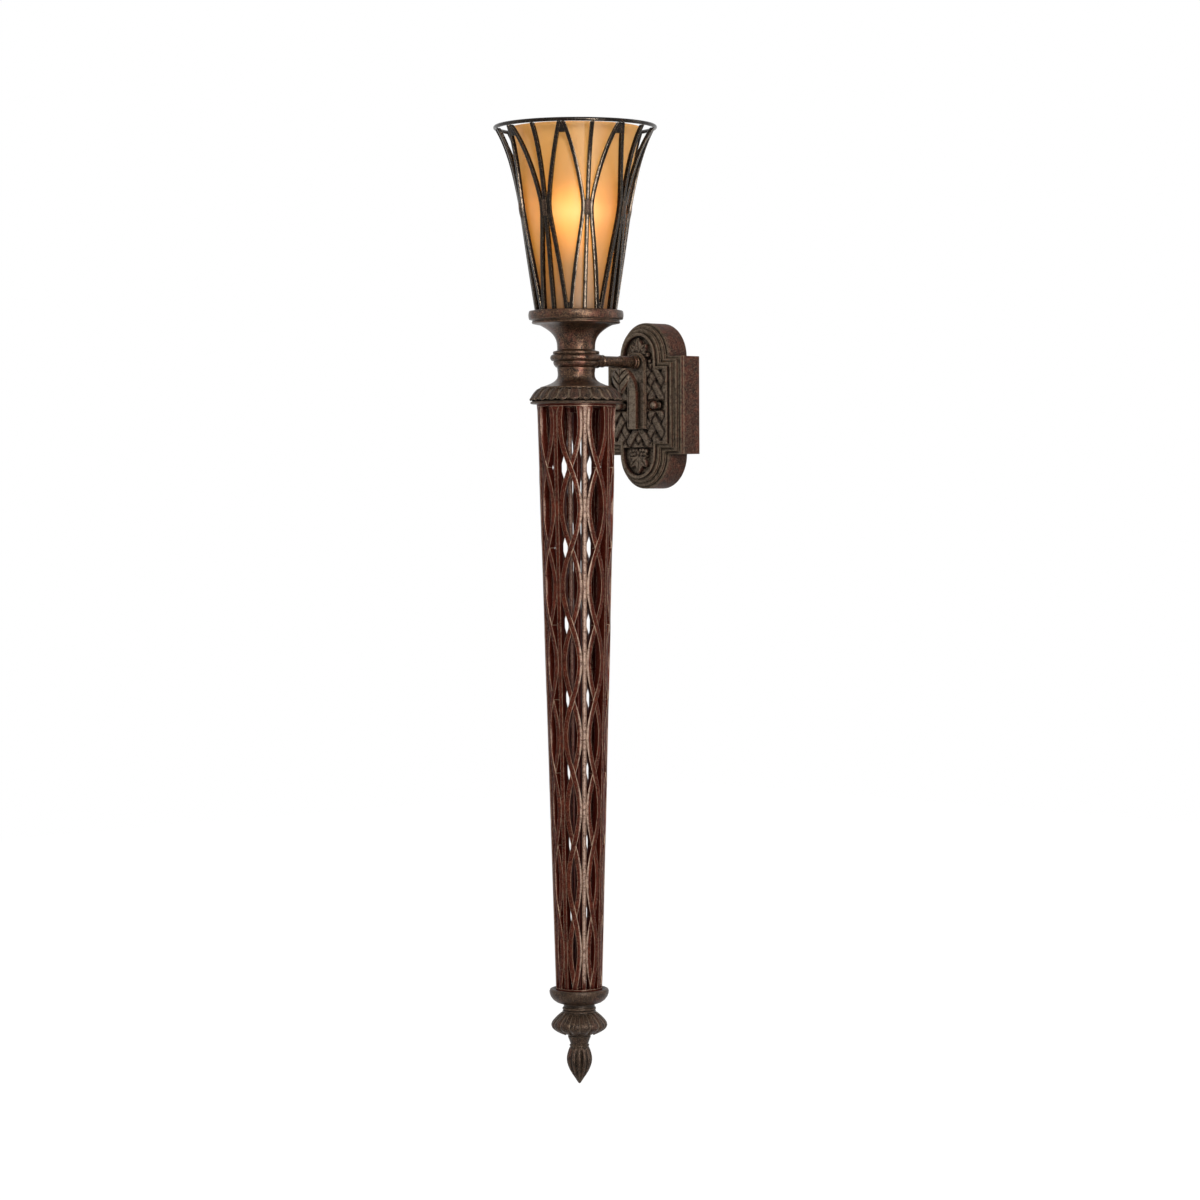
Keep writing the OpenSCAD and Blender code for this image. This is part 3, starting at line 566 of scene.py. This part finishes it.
def bindStation(t):
    # A short binding over the upright where the two lens bars touch it: it swells to its middle and leans with them.
    height = cageHeight(cage["middle"])
    radius, up = cageRadius(height), cage["bindTall"] * (t - 0.5)
    outer = radius + cage["bindProud"] * sin(pi * (0.15 + 0.7 * t)) + 0.154 * up
    return (0, outer, radius - cage["barDepth"] - 0.5, height + up, cage["bindWide"] * (0.72 + 0.28 * sin(pi * t)))


binding = sweptBar("cageBindings", 8, bindStation, 0.7)
dress(roundTheTorch(binding, sectorTurns), 38, rubbedBronze)
print("cage made")


# Glass and bulb.

glass = {"foot": 95.5, "top": 300.5, "wall": 3, "lipRound": 0.6, "radius": 40, "slope": 0.141, "slopeFrom": 103,
         "lip": 4.4, "bell": 8, "rings": 30}


def glassRadius(z):
    u = max((z - glass["foot"]) / (glass["top"] - glass["foot"]), 0)
    return glass["radius"] + glass["slope"] * (z - glass["slopeFrom"]) + glass["lip"] * u ** glass["bell"]


rings = [glass["foot"] + (glass["top"] - glass["foot"]) * (i / glass["rings"]) ** 0.8
         for i in range(glass["rings"] + 1)]
outside = [(glassRadius(z), z) for z in rings]
inside = [(glassRadius(z) - glass["wall"], z) for z in reversed(rings)]
shade = turned("glassShade", outside + inside + outside[:1], 144)
softEdges(shade, glass["lipRound"], 3, 50)
dress(shade, 50, amberGlass, "glass_diffuser", "glass")

bulb = {"radius": 30, "middle": 210, "neck": [(0, 157.5), (12.8, 157.5), (13.2, 160.5)]}
bulbShell = turned("bulbGlass", bulb["neck"] + arc((0, bulb["middle"]), bulb["radius"], -52, 90, 22), 64)
dress(bulbShell, 60, litBulb, "bulb_glass", "bulb")
print("glass and bulb made")


# Turned pieces of the torch. Their outlines start and end at the bore.

cup = {"bore": 5.05, "foot": 59.6, "floor": 93, "top": 102.3, "recess": 47.2, "waist": 20.7, "under": 39.8,
       "flareFoot": 60.2, "flareTall": 26.3}
flare = [(cup["waist"] + (cup["under"] - cup["waist"]) * (i / 16) ** 2.8, cup["flareFoot"] + cup["flareTall"] * i / 16)
         for i in range(17)]
cupOutline = ([(cup["bore"], cup["floor"]), (cup["bore"], cup["foot"]), (cup["waist"], cup["foot"])] + flare
              + [(44, 87.3), (47.4, 88), (48.2, 88.6), (48.2, 90), (47.6, 90.6), (47.9, 92.1)]
              + arc((39.5, 97), 12.5, -22, 22, 10)
              + [(49.4, 102), (cup["recess"], cup["top"]), (cup["recess"], cup["floor"]), (cup["bore"], cup["floor"])])
cupPiece = softEdges(turned("cup", cupOutline, 144), 0.35, 2, 30)
dress(cupPiece, 40, castBronze, "cup")

arm = {"height": 48, "bore": 4.3}
armMiddle = Vector((0, 0, arm["height"] * mm))
knuckleOutline = ([(4.05, 40), (21, 40), (22.6, 40.8), (24.4, 43.2), (25, 45), (25, 46.6), (24.2, 47.3)]
                  + arc((24.6, 50.75), 3.8, -62, 62, 12)
                  + [(24.2, 54.3), (25.4, 55), (25.4, 57.2), (24.4, 58), (21.4, 58.6), (20.7, 59.6), (4.05, 59.6),
                     (4.05, 40)])
knuckle = softEdges(turned("knuckle", knuckleOutline, 128), 0.3, 2, 30)
bossOutline = [(arm["bore"], 103), (7.2, 103), (8, 103.8), (8, 106), (7.4, 106.6), (9.2, 108.4), (9.2, 112.5),
               (arm["bore"], 112.5), (arm["bore"], 103)]  # heights are from the wall
boss = turned("knuckleBoss", bossOutline, 48, armMiddle, (0, -1, 0))
dress(joined("knuckle", knuckle, softEdges(boss, 0.4)), 40, castBronze, "knuckle")

neckOutline = ([(4.05, 18), (39.5, 18), (39.5, 18.6)]
               + [(20.2 + 19 * (1 - i / 18) ** 3, 18.9 + 15.1 * i / 18) for i in range(19)]
               + [(20.6, 37), (21, 40), (4.05, 40), (4.05, 18)])
neck = softEdges(turned("lowerNeck", neckOutline, 128), 0.3)
dress(neck, 40, castBronze, "lower_neck")


def leafOn(name, route, halfAngle, rise, columns=10, rows=18, thick=1.4):
    # A leaf laid along a route of [radius, height] points: halfAngle(t) wide, and raised by rise(across, t).
    piece = startPiece(name, "grid", x_subdivisions=columns, y_subdivisions=rows, size=mm)
    lengths = [0]
    for a, b in zip(route, route[1:]):
        lengths.append(lengths[-1] + dist(a, b))

    def lay(p):
        across, along = 2 * p.x, p.y + 0.5
        want = along * lengths[-1]
        i = min(max(k for k in range(len(lengths)) if lengths[k] <= want + 1e-9), len(route) - 2)
        share = (want - lengths[i]) / (lengths[i + 1] - lengths[i])
        a, b = route[i], route[i + 1]
        radius, height = a[0] + (b[0] - a[0]) * share, a[1] + (b[1] - a[1]) * share
        out = Vector((a[1] - b[1], b[0] - a[0])).normalized()
        lift = rise(across, along)
        return polar(across * halfAngle(along), radius + out.x * lift, height + out.y * lift)

    return facesOut(applied(reshape(piece, lay), "SOLIDIFY", thickness=thick * mm, offset=-1))


def leafWidth(t, widest, full, top):
    # From a narrow root through its widest place to a rounded tip.
    if t < widest:
        return top + (full - top) * sin(pi / 2 * t / widest)
    return full * sqrt(max(1 - ((t - widest) / (1 - widest)) ** 2.4, 0.0004))


crown = {"leaves": 24, "dome": 1.9, "vein": 0.7,
         "route": [(39.2, 15.4), (41.2, 14), (43.4, 11.4), (45.4, 8.8), (47.2, 6.6), (48.4, 5.2), (49, 4.4)],
         "outline": [(4.05, 0.5), (49.3, 0.5), (50.2, 1), (50.4, 2.4), (49.6, 3), (48, 3.4), (46.8, 5.4),
                     (38.6, 14.6), (38.6, 15.6), (39.6, 16.2), (39.8, 17.4), (39, 18), (4.05, 18), (4.05, 0.5)]}


def crownLeafRise(u, t):
    dome = crown["dome"] * (1 - abs(u) ** 2.2) * (0.55 + 0.45 * sin(pi * min(t * 1.1, 1)))
    return 0.4 + dome - crown["vein"] * exp(-(u / 0.2) ** 2) * (1 - t) ** 0.3


def dartRise(u, t):
    return 0.3 + 0.7 * (1 - abs(u)) * (1 - 0.5 * t)


crownRing = softEdges(turned("crownCollar", crown["outline"], 144), 0.3)
leaf = leafOn("crownLeaf", crown["route"], lambda t: leafWidth(t, 0.62, 6.5, 4.2), crownLeafRise)
dart = leafOn("crownDart", crown["route"][1:], lambda t: 0.9 * (1 - t) ** 0.5 + 0.1, dartRise, 4, 10)
leaves = roundTheTorch(leaf, evenTurns(crown["leaves"]))
darts = roundTheTorch(dart, evenTurns(crown["leaves"], 0.5))
dress(joined("crownCollar", crownRing, leaves, darts), 50, rubbedBronze, "crown_collar")
print("cup, knuckle, neck and crown made")


# Column.

column = {"top": -2.5, "length": 636, "topRadius": 43.3, "endRadius": 25.6, "ribWidth": 4.4, "waveWidth": 5.6,
          "depth": 8, "gap": 0.1, "crossings": 7.04, "lead": 0.68, "shorten": 0.93, "footing": 7,
          "footingTall": 3.2, "proud": {1: 0.15, -1: 0.75}}  # one bar passes a little in front of the other


def columnRadius(z):
    taper = column["endRadius"] - column["topRadius"]
    return column["topRadius"] + taper * (column["top"] - z) / column["length"]


def crossing(z):
    down = max(column["top"] - z, 0) / column["length"]
    return (column["crossings"] + column["lead"]) * down ** (1 / column["shorten"]) - column["lead"]


def layRib(p):
    # The cuts gather near the top, where the rib spreads into the collar.
    t = 1 - (1 - (p.z + 0.5)) ** 2.2
    z = column["top"] - column["length"] * (1 - t)
    width = column["ribWidth"] + column["footing"] * exp(-((column["top"] - z) / column["footingTall"]) ** 1.3)
    outer, inner = columnRadius(z), columnRadius(z) - column["depth"]
    half = degrees(width / 2 / outer)
    slim = 1 if p.y > 0 else column["endRadius"] / (column["endRadius"] - column["depth"]) * 0.9
    return polar(2 * p.x * half * slim, outer if p.y > 0 else inner, z)


rib = softEdges(facesOut(reshape(cutBar("columnRibs", 90), layRib)), 0.55, 2, 40)
dress(roundTheTorch(rib, sectorTurns), 38, columnIron, "column_ribs")


def waveStation(t, side):
    z = column["top"] - column["length"] * (1 - t)
    radius = columnRadius(z)
    swell = radius * pi / torch["sectors"] - (column["ribWidth"] + column["waveWidth"]) / 2 - column["gap"]
    aside = side * swell * sin(pi * crossing(z))
    return (degrees(aside / radius), radius - column["proud"][side], radius - column["depth"], z, column["waveWidth"])


waves = [roundTheTorch(sweptBar("columnLattice", 150, lambda t: waveStation(t, side), 0.55), middleTurns)
         for side in (1, -1)]
dress(joined("columnLattice", *waves), 38, columnIron, "column_lattice")
print("column made")


# Foot of the torch: bead, petals and bud. Heights in each outline are from the piece's own top.

bead = {"top": -641.5, "outline": [
    (3.05, -21.5), (17.4, -21.5), (18.4, -20.9), (18.4, -19.2), (17.2, -18.4), (16.8, -15.4), (20.5, -14.6),
    (24.5, -13.2), (28.4, -10.4), (31, -7), (32.4, -3.4), (32.6, -0.8), (31.9, 1.2), (30.4, 2), (28.8, 1.4),
    (27.4, 0.2), (26.2, 0), (3.05, 0), (3.05, -21.5)]}
beadPiece = softEdges(turned("bottomBead", raised(bead["outline"], bead["top"]), 112), 0.3)
dress(beadPiece, 40, rubbedBronze, "bottom_bead")

petals = {"top": -663, "count": 16, "outline": [
    (3.05, -29.1), (12, -29.1), (12, -28), (16.4, -25.4), (20, -23.2), (23.2, -21), (25.6, -18.6),
    (26.6, -15.8), (25.6, -12.8), (22.6, -9.6), (18.6, -6.6), (18, -4.4), (18.4, -3.6), (18.4, -1.4), (17.4, 0),
    (3.05, 0), (3.05, -29.1)], "route": [
    (17.6, -5.1), (20, -6.9), (22.7, -9.3), (25.5, -12.2), (27.8, -15), (28.3, -17), (27.1, -18.9),
    (24.4, -20.8), (21.2, -22.6), (17.8, -24.2)]}


def petalRise(u, t):
    vein = 0.6 * exp(-(u / 0.16) ** 2) * min(1, 2 * (1 - t))
    return 0.2 + 1.3 * (1 - abs(u) ** 2) ** 0.7 - vein


petal = leafOn("petal", raised(petals["route"], petals["top"]), lambda t: leafWidth(t, 0.5, 10.6, 8.6), petalRise)
petal = roundTheTorch(petal, evenTurns(petals["count"]))
petalRing = softEdges(turned("leafRing", raised(petals["outline"], petals["top"]), 96), 0.3)
dress(joined("leafRing", petalRing, petal), 50, rubbedBronze, "leaf_ring")

bud = {"top": -692.25, "tall": 52.5, "flutes": 12, "deep": 0.26, "neck": 11.6, "plain": 3.2, "outline": [
    (3.05, -20), (3.05, 0), (12.6, 0), (12.2, -1.6), (11, -4.6), (10.1, -7.4), (9.7, -8.6), (10.6, -9.2),
    (10.9, -10), (10.5, -10.9), (9.9, -11.4), (10.9, -12.6), (12, -15.5), (13, -18.9), (13.7, -22.4),
    (13.9, -25.7), (13.5, -29.2), (12.6, -32.4), (11.3, -35.8), (9.6, -39.1), (7.5, -42.5), (5.2, -45.8),
    (3.1, -49), (1.4, -51.6), (0, -52.5)]}
budPiece = turned("finialBud", raised(bud["outline"], bud["top"]), bud["flutes"] * 12)


def flute(p):
    x, y = p.x, p.y + torch["reach"]
    down = (bud["top"] - bud["neck"] - p.z) / (bud["tall"] - bud["neck"])
    if down <= 0 or hypot(x, y) < bud["plain"]:
        return p
    fade = min(down / 0.12, 1) * min((1 - down) / 0.06, 1)
    angle = atan2(y, x) - radians(torch["turn"])
    ridge = abs(cos(bud["flutes"] * angle / 2)) ** 0.6
    k = 1 + bud["deep"] * fade * (ridge - 0.98)
    return x * k, -torch["reach"] + y * k, p.z


reshape(budPiece, flute)
dress(budPiece, 50, rubbedBronze, "finial_bud", "finial")
print("foot of the torch made")


# Wall plate.

plate = {"halfWide": 57.5, "halfTall": 54, "lobe": 38, "wall": 2.4, "panel": 36, "panelInset": 14.5,
         # mouldings from the wall forwards: inset and push of each step, a fine groove at the foot of every wall
         "steps": [(0, 28.3), (0.7, 0.7), (1.5, 0), (0.1, -2), (0.8, 0), (0.15, 5.5), (0.5, 0.5), (1, 0),
                   (0.15, -0.6), (0.25, 0), (0.15, 0.6), (0.9, 0), (0.1, -2.4), (0.9, 0), (0.15, 6), (0.4, 0.4),
                   (1, 0), (0.15, -0.6), (0.25, 0), (0.15, 0.6), (1, 0), (0.1, -1.5), (0.7, 0), (0.1, 4.1),
                   (0.4, 0.4), (1.6, 0), (0.5, -0.8), (0.8, -7)]}


def outlinePiece(name, outline, depth):
    # The outline as a line of vertices, closed and filled, lying at that distance from the wall.
    piece = linePiece(name, [Vector((x * mm, -depth * mm, z * mm)) for x, z in outline])
    with editing(piece):
        bpy.ops.mesh.edge_face_add()
    return piece


def pushOut(piece, steps):
    # Each step insets the front face and pushes it out from the wall, by so many millimetres.
    with editing(piece, "FACE"):
        for inset, push in steps:
            if inset:
                bpy.ops.mesh.inset(thickness=inset * mm, use_even_offset=True)
            if push:
                bpy.ops.mesh.extrude_region_move(TRANSFORM_OT_translate={"value": (0, -push * mm, 0)})
    return piece


# Half box and half lobe: right side up, over the top lobe, and down the left.
halfOutline = ([(plate["halfWide"], plate["halfTall"])] + arc((0, plate["halfTall"]), plate["lobe"], 0, 180, 28)
               + [(-plate["halfWide"], plate["halfTall"])])
casting = outlinePiece("backplate", halfOutline + [(-x, -z) for x, z in halfOutline], 0)
pushOut(casting, plate["steps"])
with editing(casting, "FACE"):
    pick(casting, "faces", lambda f: abs(f.calc_center_median().y) < 0.01 * mm and abs(f.normal.y) > 0.9)
    bpy.ops.mesh.delete(type="FACE")
facesOut(casting)
applied(casting, "SOLIDIFY", thickness=plate["wall"] * mm, offset=-1, use_even_offset=True)
softEdges(casting, 0.2, 1, 30)
dress(casting, 40, plateBronze, "backplate")

# The sunk panel's carving: straps woven two over and one under, a palmette in each lobe, a slot for each ball nut.
carving = {"grid": 0.62, "slope": 52, "aside": 2.2, "pitch": 11.8, "strap": 9.2, "over": 3.6, "under": 0.6,
           "ground": -1.6, "weaveEnd": 46, "edgeInside": 1.3, "thick": 1, "sunk": 0.05,
           "nutSlot": (28, 13, 5), "slotLip": (1.6, 1.5),  # middle, half length, half height; lip's width and height
           "palmetteRoot": 55.5, "palmetteRise": 3.9,
           # lean, length and width of each lobe
           "lobes": ((-88, 15, 4.6), (-45, 18, 5.6), (0, 20.5, 6.2), (45, 18, 5.6), (88, 15, 4.6))}
slopeCos, slopeSin = cos(radians(carving["slope"])), sin(radians(carving["slope"]))


def strapHeight(x, z):
    x = abs(x) + carving["aside"]
    falling, rising = x * slopeSin + z * slopeCos, x * slopeSin - z * slopeCos
    best = carving["ground"]
    for mine, other, mostlyOver in ((falling, rising, 1), (rising, falling, 0)):
        row = round(mine / carving["pitch"])
        off = abs(mine - row * carving["pitch"]) / (carving["strap"] / 2)
        if off < 1:
            along = other / carving["pitch"]
            here = along // 1
            step = min(max((along - here - 0.3) / 0.4, 0), 1)
            step = step * step * (3 - 2 * step)
            before, after = [1 if ((row + k) % 3 == 0) != mostlyOver else 0 for k in (here, here + 1)]
            lift = before + (after - before) * step
            body = (carving["under"] + (carving["over"] - carving["under"]) * lift) * (1 - off ** 6) ** 0.5
            best = max(best, body - 0.35 * exp(-((1 - off) / 0.3) ** 2) * lift)
    return best


def palmetteHeight(x, z):
    best, up = carving["ground"], abs(z) - carving["palmetteRoot"]
    for lean, length, wide in carving["lobes"]:
        a = radians(lean)
        along, across = x * sin(a) + up * cos(a), x * cos(a) - up * sin(a)
        t = along / length
        if 0.02 < t < 1:
            half = wide * sin(pi * t ** 0.8)
            if abs(across) < half:
                body = carving["palmetteRise"] * (1 - (across / half) ** 4) ** 0.5 * (0.55 + 0.45 * t)
                best = max(best, body - 1.8 * exp(-(across / 0.8) ** 2))
    return best


def carvedHeight(x, z):
    middle, half, tall = carving["nutSlot"]
    lipWide, lipTall = carving["slotLip"]
    fromSlot = hypot(max(abs(abs(x) - middle) - (half - tall), 0), z) - tall
    if fromSlot < 0:
        return carving["ground"] * (1 + min(-fromSlot / 0.8, 1))
    if fromSlot < lipWide:
        return lipTall * sin(pi * min(fromSlot / lipWide, 1) ** 0.7)
    return strapHeight(x, z) if abs(z) < carving["weaveEnd"] else palmetteHeight(x, z)


def inPanel(p):
    inset = plate["panelInset"] - carving["edgeInside"]
    inLobe = hypot(p.x, abs(p.z) - plate["halfTall"]) < plate["lobe"] - inset
    return inLobe or (abs(p.x) < plate["halfWide"] - inset and abs(p.z) < plate["halfTall"] - inset)


wide = plate["halfWide"] - plate["panelInset"] + 2
tall = plate["halfTall"] + plate["lobe"] - plate["panelInset"] + 2
relief = startPiece("carvedPanel", "grid", x_subdivisions=round(2 * wide / carving["grid"]),
                    y_subdivisions=round(2 * tall / carving["grid"]), size=mm)
reshape(relief, lambda p: (p.x * 2 * wide, 0, p.y * 2 * tall))
with editing(relief, "FACE"):
    pick(relief, "faces", lambda f: not inPanel(f.calc_center_median() / mm))
    bpy.ops.mesh.delete(type="FACE")
reshape(relief, lambda p: (p.x, -(plate["panel"] + carving["sunk"] + carvedHeight(p.x, p.z)), p.z))
applied(relief, "SOLIDIFY", thickness=carving["thick"] * mm, offset=-1)
facesOut(relief)
dress(relief, 60, plateBronze)

berries = {"radius": 2.5, "lift": 1.4, "upperFrom": 44.5, "upperReach": 18.6, "upperTurns": (22, 52, 78),
           "middle": (0, -52.4), "lower": [(12, -50.4), (7.6, -49.6), (3.2, -49.6), (9.8, -54), (5.4, -53.6)]}
upper = [(berries["upperReach"] * sin(radians(turn)), berries["upperFrom"] + berries["upperReach"] * cos(radians(turn)))
         for turn in berries["upperTurns"]]
onRight = upper + berries["lower"]
beads = [startPiece("carvedBerries", "uv_sphere", segments=16, ring_count=10, radius=berries["radius"] * mm,
                    location=(x * mm, -(plate["panel"] + berries["lift"]) * mm, z * mm))
         for x, z in [berries["middle"]] + onRight + [(-x, z) for x, z in onRight]]
dress(joined("carvedBerries", *beads), 60, plateBronze)
print("wall plate made")


# Plinth, scroll and leaf.

plinth = {"half": 14.5, "foot": -26, "archMiddle": 44.5, "back": 35,
          "steps": [(0, 5.6), (0.7, 1.1), (0.5, 1.3), (1.5, 0), (0.5, -0.8)]}
archOutline = ([(plinth["half"], plinth["foot"])] + arc((0, plinth["archMiddle"]), plinth["half"], 0, 180, 24)
               + [(-plinth["half"], plinth["foot"])])
arch = outlinePiece("armPlinth", archOutline, plinth["back"])
pushOut(arch, plinth["steps"])
softEdges(facesOut(arch), 0.45, 2, 30)
dress(arch, 40, plateBronze, "arm_plinth")

# The strap runs up the plinth and sweeps forwards. Back and end are its middle line's distance from the wall.
scroll = {"wide": 10.5, "thick": 5, "foot": -26, "spring": 13, "back": 45.5, "end": (65, 38.5), "sweep": 36,
          "parts": 56, "strips": 6, "beads": (0, 0.31, 0.36, 0.5), "sunk": 0.7}


def scrollPath(t):
    # Distance from the wall, height and outward direction at t along the strap.
    rise = scroll["spring"] - scroll["foot"]
    run = t * (rise + scroll["sweep"])
    if run < rise:
        return scroll["back"], scroll["foot"] + run, (-1, 0)
    a = pi / 2 * (run - rise) / scroll["sweep"]
    deep, tall = scroll["end"][0] - scroll["back"], scroll["end"][1] - scroll["spring"]
    out = Vector((-cos(a) * tall, sin(a) * deep)).normalized()
    return scroll["end"][0] - deep * cos(a), scroll["spring"] + tall * sin(a), out


def layScroll(p):
    # The strips become a bead down each side and a sunk middle.
    depth, height, out = scrollPath(p.z + 0.5)
    cut = round(abs(p.x) * scroll["strips"])
    lift = p.y * scroll["thick"] - (scroll["sunk"] if p.y > 0 and cut < 2 else 0)
    x = copysign(scroll["beads"][cut], p.x) * scroll["wide"]
    return x, -(depth + out[0] * lift), height + out[1] * lift


strap = cutBar("scrollStrap", scroll["parts"], scroll["strips"])
softEdges(facesOut(reshape(strap, layScroll)), 0.3, 2, 40)
dress(strap, 40, scrollBronze, "scroll_strap")

scrollLeaf = {"wide": 13.4, "top": 41, "tip": 13, "back": 64.2, "dome": 3.2, "vein": 9.3, "veinSlope": 0.95,
              "veinDeep": 2.3, "middleDeep": 1.7, "thick": 1.6}
leafPiece = startPiece("scrollLeaf", "grid", x_subdivisions=44, y_subdivisions=48, size=mm)


def layLeaf(p):
    across, t = 2 * p.x, 0.5 - p.y
    half = scrollLeaf["wide"] * sin(pi * min(max(0.06 + 0.94 * t, 0), 1) ** 0.72) ** 0.8 + 0.05
    x = across * half
    z = scrollLeaf["top"] - (scrollLeaf["top"] - scrollLeaf["tip"]) * t
    fromVein = (z - scrollLeaf["tip"] - scrollLeaf["veinSlope"] * abs(x)) / scrollLeaf["vein"]
    fromVein = abs(fromVein - round(fromVein)) * scrollLeaf["vein"]
    notch = 1 - 0.1 * exp(-(fromVein / 1.3) ** 2) * abs(across) ** 3
    dome = scrollLeaf["dome"] * (1 - across ** 2) ** 0.5 + 1.2 * sin(pi * t)
    cut = scrollLeaf["veinDeep"] * exp(-(fromVein / 1) ** 2) * (1 - 0.5 * across ** 4)
    cut += scrollLeaf["middleDeep"] * exp(-(x / 0.9) ** 2)
    return x * notch, -(scrollLeaf["back"] + dome - cut), z


reshape(leafPiece, layLeaf)
applied(leafPiece, "SOLIDIFY", thickness=scrollLeaf["thick"] * mm, offset=-1)
facesOut(leafPiece)
dress(leafPiece, 60, scrollBronze, "scroll_leaf")
print("plinth and scroll made")


# Arm. Outlines are radius and distance from the wall.

ribbed = [(6.6 - 0.3 * abs(sin(pi * k / 8)) ** 4, 52 + 0.35 * k) for k in range(41)]
armPieces = {  # name: slot, node and outline
    "armTube": ("cast_bronze", "arm_tube", [
        (arm["bore"], 27), (5.9, 27), (5.9, 112.5), (arm["bore"], 112.5), (arm["bore"], 27)]),
    "armSleeve": ("cast_bronze", "arm_sleeve", [
        (5.95, 51), (6.6, 51)] + ribbed + [(6.6, 67), (5.95, 67), (5.95, 51)]),
    "armRootCollar": ("rubbed_bronze", "arm_root_collar", [
        (5.95, 43), (7.9, 43), (7.9, 44.4), (7.3, 44.8), (7.3, 45.4), (7.7, 45.8), (7.7, 47.6), (7, 48.6),
        (6.4, 49), (5.95, 49), (5.95, 43)]),
    "armEscutcheon": ("rubbed_bronze", "arm_escutcheon", [
        (5.95, 92), (6.4, 92), (6.9, 93), (6.9, 94.6), (6.3, 95.4), (6.6, 97.5), (7.4, 100), (8, 101.4),
        (8, 103), (5.95, 103), (5.95, 92)]),
}
for name, (slot, node, outline) in armPieces.items():
    piece = softEdges(turned(name, outline, 56, armMiddle, (0, -1, 0)), 0.25)
    dress(piece, 40, castBronze, node)

ballNut = {"at": 28, "seat": 34.6, "ball": 4.6,
           "foot": [(0, 0), (4.6, 0), (4.6, 1.2), (4.1, 1.7), (3.2, 1.9), (3, 2.8)]}
nutOutline = (raised(ballNut["foot"], ballNut["seat"])
              + arc((0, ballNut["seat"] + 2 + ballNut["ball"]), ballNut["ball"], -54, 90, 16))
for side, name, node, body in ((-1, "ballNutLeft", "cap_nut_left", "left_nut"),
                               (1, "ballNutRight", "cap_nut_right", "right_nut")):
    nut = turned(name, nutOutline, 40, Vector((side * ballNut["at"] * mm, 0, 0)), (0, -1, 0))
    dress(nut, 50, scrollBronze, node, body)
print("arm and ball nuts made")


# Solids that keep their own shape.

keptFinishes = {
    plain["zincPlatedSteel"]: [
        "wall_strap", "strap_studs", "stud_nuts", "plinth_screws", "arm_lock_nut", "finial_stud", "gallery_plate",
        "bulb_cap"],
    plain["turnedBrass"]: ["earth_screw", "centre_nipple", "gallery_nut", "screw_shell", "centre_contact"],
    columnIron: ["column_top_plate", "column_bottom_plate", "crown_stud", "crown_nut", "finial_nut"],
    forgedIron: ["cage_base_ring"],
    plain["mouldedPhenolic"]: ["holder_cap", "holder_body"],
    plain["naturalNylon"]: ["terminal_block"],
    plain["gasketRubber"]: ["glass_gasket"],
    plain["solderTin"]: ["bulb_contact"],
    plain["pvcWireBrown"]: ["lamp_wires"],
    plain["pvcWireGreenYellow"]: ["earth_wire"],
}
for finish, names in keptFinishes.items():
    for name in names:
        nodes[name].data.materials.clear()
        nodes[name].data.materials.append(finish)
print("kept solids dressed")
